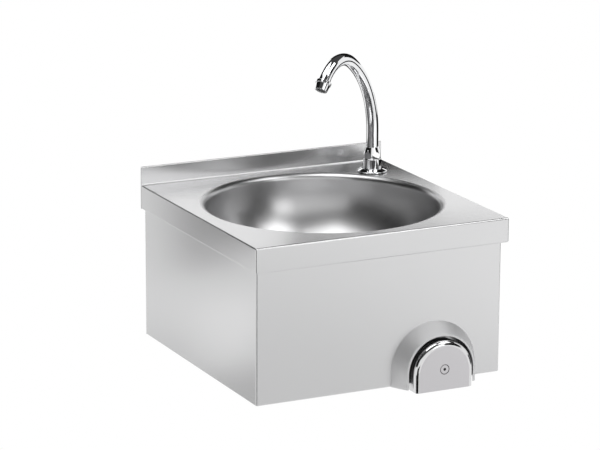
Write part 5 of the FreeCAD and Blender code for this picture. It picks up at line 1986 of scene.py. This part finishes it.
@dataclass
class Hose(Assembly):
    """Elbow, braided hose, nuts and ferrules from the valve to the tap."""

    elbow_x: float = 0.0574
    elbow_r: float = 0.008
    leg: float = 0.012
    thread_r: float = 0.00833
    thread_l: float = 0.014
    bore: float = 0.0045
    hose_r: float = 0.006
    length: float = 0.374
    washer: float = 0.0015
    first_run: float = 0.078
    last_run: float = 0.076
    swing: tuple[float, float, float] = (0.007, 0.080, -0.006)
    heel: tuple[float, float] = (0.054, 0.013)
    collar_flats: float = 0.018
    collar_l: float = 0.008
    nut_flats: float = 0.020
    nut_l: float = 0.016
    nut_overlap: float = 0.003
    ferrule_l: float = 0.018
    ferrule_t: float = 0.0014
    grooves: tuple[float, ...] = (0.3, 0.5, 0.7)
    groove_h: float = 0.0006

    def ends(self) -> list[tuple[Vector, Vector]]:
        """Face that each end seals on, and the direction away from it.

        Returns:
            Each end's face and direction, the elbow's first.
        """
        plan = self.layout
        start = plan.on_valve(plan.port_at + self.leg + self.thread_l, self.elbow_x)
        return [(start, TO_WALL), (plan.on_tap(plan.tap_tail), -UP)]

    def route(self) -> list[Vector]:
        """Corners of the hose's way from the elbow to the tap.

        Returns:
            The corners in order.
        """
        (start, _), (finish, _) = self.ends()
        first = start + TO_WALL * self.washer
        last = finish - UP * self.washer
        bend_1 = first + TO_WALL * self.first_run
        bend_2 = bend_1 + Vector(self.swing)
        bend_3 = Vector((last.x, last.y - self.heel[0], bend_2.z + self.heel[1]))
        return [first, bend_1, bend_2, bend_3, last - UP * self.last_run, last]

    def line(self, name: str, thickness: float) -> Piece:
        """Smooth curve through the hose's route.

        Args:
            name: Name of the new curve.
            thickness: Radius of its tube, or 0 for the bare line.

        Returns:
            The curve's object.
        """
        data = bpy.data.curves.new(name, "CURVE")
        data.dimensions = "3D"
        spline = data.splines.new("NURBS")
        spots = self.route()
        spline.points.add(len(spots) - 1)
        for point, spot in zip(spline.points, spots):
            point.co = (*spot, 1.0)
        spline.order_u = 3
        spline.use_endpoint_u = True
        spline.resolution_u = 24
        data.bevel_depth = thickness
        data.bevel_resolution = 10
        piece = bpy.data.objects.new(name, data)
        bpy.context.scene.collection.objects.link(piece)
        return piece

    def hose(self) -> tuple[Piece, list[Vector]]:
        """Braided tube as a mesh, and the points that it follows.

        Returns:
            The tube and the points.
        """
        bare = self.line("hose_line", 0.0)
        bpy.context.view_layer.update()
        graph = bpy.context.evaluated_depsgraph_get()
        mesh = bpy.data.meshes.new_from_object(bare.evaluated_get(graph))
        path = [vertex.co.copy() for vertex in mesh.vertices]
        bpy.data.objects.remove(bare)
        piece = self.line("braided_hose", self.hose_r)
        activate(piece)
        bpy.ops.object.convert(target="MESH")
        piece = bpy.context.object
        with editing(piece):
            pick("EDGE", lambda e: e.is_boundary)
            bpy.ops.mesh.fill()
            tidy_mesh()
        return smooth(named(piece, "braided_hose"), 60, False), path

    def elbow(self) -> Piece:
        """Tube from the port to the corner and back to the wall side, with its thread.

        Returns:
            The elbow.
        """
        plan = self.layout
        start = plan.on_valve(plan.port_at, plan.port_reach)
        corner = plan.on_valve(plan.port_at, self.elbow_x)
        parts = [bar("elbow_in", self.elbow_r, start, corner, 64)]
        deselect()
        bpy.ops.mesh.primitive_uv_sphere_add(
            segments=64, ring_count=32, radius=self.elbow_r, location=corner
        )
        bpy.ops.object.transform_apply(location=True)
        parts.append(named(bpy.context.object, "elbow_corner"))
        end, leg = self.leg + self.thread_l, self.leg
        outline = [(0, 0), (self.elbow_r, 0), (self.elbow_r, leg)]
        outline += thread(self.thread_r, leg + 0.0003, end - 0.0006, SMALL_PIPE)
        outline += [(self.thread_r - 0.0008, end), (self.bore, end), (self.bore, leg), (0, leg)]
        parts.append(lathe("elbow_out", outline, corner, TO_WALL, 64))
        parts = [smooth(part, 40) for part in parts]
        end = start + RIGHT * self.collar_l
        collar = nut("elbow_hex", self.collar_flats, self.bore, start, end)
        return merged("outlet_elbow_turned", parts + [smooth(collar)])

    def fittings(self) -> tuple[Piece, Piece]:
        """Swivel nuts and crimped ferrules at both ends.

        Returns:
            The two nuts and the two ferrules, each pair as one piece.
        """
        nuts, ferrules = [], []
        for k, (face, away) in enumerate(self.ends()):
            back = self.thread_l - self.nut_overlap
            start, end = face - away * back, face + away * (self.nut_l - back)
            nuts.append(smooth(nut(f"swivel_{k}", self.nut_flats, self.thread_r, start, end)))
            outer, length = self.hose_r + self.ferrule_t, self.ferrule_l
            pressed = outer - self.groove_h
            corners: list[tuple[float, ...]] = [(self.hose_r, 0), (outer, 0, 0.0004)]
            for at in (length * share for share in self.grooves):
                corners += [(outer, at - 0.0014, 0.0004), (pressed, at - 0.0007, 0.0004),
                            (pressed, at + 0.0007, 0.0004), (outer, at + 0.0014, 0.0004)]
            corners += [(outer, length, 0.0005), (self.hose_r, length)]
            ferrules.append(turned(f"ferrule_{k}", corners, end, away, 64))
        return merged("hose_swivel_nuts", nuts), merged("hose_crimps", ferrules)

    def build(self) -> None:
        """Make the hose and what joins it."""
        self.dress(self.elbow(), BRASS, "outlet_elbow")
        hose, path = self.hose()
        self.dress(hose, HOSE_BRAID, "outlet_hose")
        nuts, ferrules = self.fittings()
        self.dress(nuts, CHROME, "hose_nuts")
        self.dress(ferrules, CHROME, "hose_ferrules")
        self.keep(RUBBER, "hose_washers")
        tuple(self.route()[0])
        [tuple(spot) for spot in path]


# ---------------------------------------------------------------- studio


@dataclass(frozen=True)
class Viewpoint:
    """The photograph's camera."""

    place: tuple[float, float, float] = (-1.9207, -4.0536, 1.2289)
    azimuth: float = -26.0801
    elevation: float = 14.7683
    roll: float = 0.26
    lens: float = 183.33

    def build(self) -> None:
        """Make the camera and look through it."""
        azimuth, elevation = math.radians(self.azimuth), math.radians(self.elevation)
        flat = math.cos(elevation)
        back = Vector((math.sin(azimuth) * flat, -math.cos(azimuth) * flat, math.sin(elevation)))
        right = UP.cross(back).normalized()
        up = back.cross(right)
        lean = math.radians(self.roll)
        side = right * math.cos(lean) + up * math.sin(lean)
        top = up * math.cos(lean) - right * math.sin(lean)
        data = bpy.data.cameras.new("photo_camera")
        data.lens = self.lens
        data.sensor_width = 36.0
        camera = bpy.data.objects.new("photo_camera", data)
        bpy.context.scene.collection.objects.link(camera)
        pose = Matrix((side, top, back)).transposed().to_4x4()
        pose.translation = Vector(self.place)
        camera.matrix_world = pose
        bpy.context.scene.camera = camera


@dataclass(frozen=True)
class Lamp:
    """A soft box that shines at the sink."""

    name: str
    place: tuple[float, float, float]
    aim: tuple[float, float, float]
    width: float
    height: float
    power: float

    def build(self) -> None:
        """Hang the lamp."""
        data = bpy.data.lights.new(self.name, "AREA")
        data.shape = "RECTANGLE"
        data.size, data.size_y = self.width, self.height
        data.energy = self.power
        lamp = bpy.data.objects.new(self.name, data)
        bpy.context.scene.collection.objects.link(lamp)
        lamp.location = self.place
        way = Vector(self.aim) - Vector(self.place)
        lamp.rotation_euler = way.to_track_quat("-Z", "Y").to_euler()


@dataclass(frozen=True)
class Card:
    """A plain card beside the set, which only reflections show."""

    name: str
    place: tuple[float, float, float]
    aim: tuple[float, float, float]
    width: float
    height: float
    shade: float

    def build(self) -> None:
        """Stand the card up, facing its aim."""
        deselect()
        bpy.ops.mesh.primitive_plane_add(size=1)
        card = named(bpy.context.object, self.name)
        card.scale = (self.width, self.height, 1)
        card.location = self.place
        way = Vector(self.aim) - Vector(self.place)
        card.rotation_euler = way.to_track_quat("Z", "Y").to_euler()
        surface = Surface(self.name)
        surface.feed(surface.output, surface.glow(self.shade))
        card.data.materials.append(surface.material)
        card.visible_camera = False
        card.visible_diffuse = False
        card.visible_shadow = False


@dataclass
class Studio:
    """Plain pale floor, white surroundings, soft lamps and cards."""

    floor_z: float = -0.62
    floor_half: float = 7.0
    world_fill: float = 0.6
    lamps: tuple[Lamp, ...] = (
        Lamp("soft_box", (-0.30, -0.20, 1.75), (0, -0.2, 0), 1.5, 1.1, 15.0),
    )
    cards: tuple[Card, ...] = (
        Card("ceiling_card", (0.0, -0.1, 2.1), (0.0, -0.1, 0.0), 6.0, 6.0, 0.06),
        Card("cowl_light_card", (0.95, -0.98, 1.70), (0.08, -0.40, 0.0), 1.1, 0.9, 3.0),
        Card("upper_back_card", (0.6, 1.60, 1.72), (0.6, 0.0, 1.72), 3.4, 1.16, 0.02),
        Card("back_low_card", (0.70, 1.30, -0.21), (0.70, 0.0, -0.21), 2.2, 0.28, 0.01),
        Card("right_low_card", (1.40, 0.30, -0.20), (0.0, 0.30, -0.20), 2.0, 0.30, 0.01),
        Card("behind_tap_card", (0.24, 0.12, 0.15), (0.24, 0.0, 0.15), 0.26, 0.12, 0.01),
        Card("bright_back_card", (0.45, 0.90, 0.46), (0.45, 0.0, 0.46), 1.30, 0.46, 1.25),
        Card("back_left_card", (-0.85, 0.75, 0.78), (0.15, -0.2, 0.05), 1.30, 1.20, 0.01),
        Card("left_high_card", (-1.80, -0.30, 0.90), (0.0, -0.2, 0.1), 2.4, 1.4, 0.01),
        Card("side_shade_card", (-0.46, 0.35, 0.00), (-0.46, -0.5, 0.00), 0.08, 0.24, 0.25),
        Card("apron_shade_card", (-0.57, 0.35, -0.03), (-0.57, -0.5, -0.03), 0.14, 0.10, 0.10),
        Card("side_light_card", (-0.53, 0.36, -0.24), (-0.53, -0.5, -0.24), 0.14, 0.12, 1.30),
        Card("back_floor_card", (-1.15, 1.10, -0.60), (-1.15, 1.10, 0.0), 0.9, 0.7, 0.45),
        Card("front_right_card", (1.12, -1.35, 0.58), (0.2, 0.0, 0.14), 0.95, 0.60, 0.01),
        Card("right_front_card", (1.35, -0.75, 0.75), (0.0, -0.1, 0.05), 0.60, 0.70, 0.02),
        Card("front_bright_card", (0.40, -1.40, 0.54), (-0.1, 0.0, 0.14), 0.44, 0.50, 2.1),
        Card("floor_shade_card", (0.50, -1.85, -0.60), (0.50, -1.85, 0.0), 1.0, 1.1, 0.76),
        Card("floor_light_card", (1.60, -2.60, -0.60), (1.60, -2.60, 0.0), 1.1, 1.6, 1.25),
        Card("spout_shade_card", (0.26, 0.05, 0.385), (0.15, -0.10, 0.31), 0.36, 0.18, 0.01),
        Card("button_floor_card", (-1.0, -1.9, -0.60), (-1.0, -1.9, 0.0), 1.4, 1.6, 0.01),
        Card("camera_card", (-1.08, -2.05, -0.29), (0.1, -0.3, -0.29), 1.15, 0.60, 0.01),
    )

    def floor(self) -> None:
        """Pale floor that shows white."""
        deselect()
        bpy.ops.mesh.primitive_plane_add(size=self.floor_half * 2, location=(0, 0, self.floor_z))
        floor = named(bpy.context.object, "studio_floor")
        surface = Surface("pale_floor")
        surface.values(Base_Color=(0.85, 0.85, 0.85, 1), Roughness=0.9)
        fed = {0: surface.shown(), 1: surface.shader.outputs[0], 2: surface.glow(1.0)}
        surface.feed(surface.output, surface.add("ShaderNodeMixShader", fed).outputs[0])
        floor.data.materials.append(surface.material)

    def world(self) -> None:
        """White surroundings, with a plain level of light for the object."""
        world = bpy.data.worlds.new("studio_world")
        bpy.context.scene.world = world
        graph = Graph(world)
        fed = {"To Min": self.world_fill, "Value": graph.shown()}
        level = graph.add("ShaderNodeMapRange", fed).outputs["Result"]
        back = graph.add("ShaderNodeBackground", {"Color": (1, 1, 1, 1), "Strength": level})
        graph.add("ShaderNodeOutputWorld", {"Surface": back.outputs[0]})

    def build(self) -> None:
        """Set up the studio."""
        bpy.context.scene.view_settings.view_transform = "Standard"
        self.floor()
        self.world()
        for lamp in self.lamps:
            lamp.build()
        for card in self.cards:
            card.build()


def main() -> None:
    """Build the sink from its sub-assemblies, then the studio round it."""
    logging.basicConfig(level=logging.INFO, format="%(message)s")
    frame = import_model()
    deselect()
    parts = (Layout(), Finishes(), frame["nodes"])
    for assembly in (Deck, Bowl, Skirt, Cowl, KneeButton, Tap, Spout, Waste, Valve, Hose):
        assembly(*parts).build()
    Studio().build()
    Viewpoint().build()


if __name__ == "__main__":
    main()
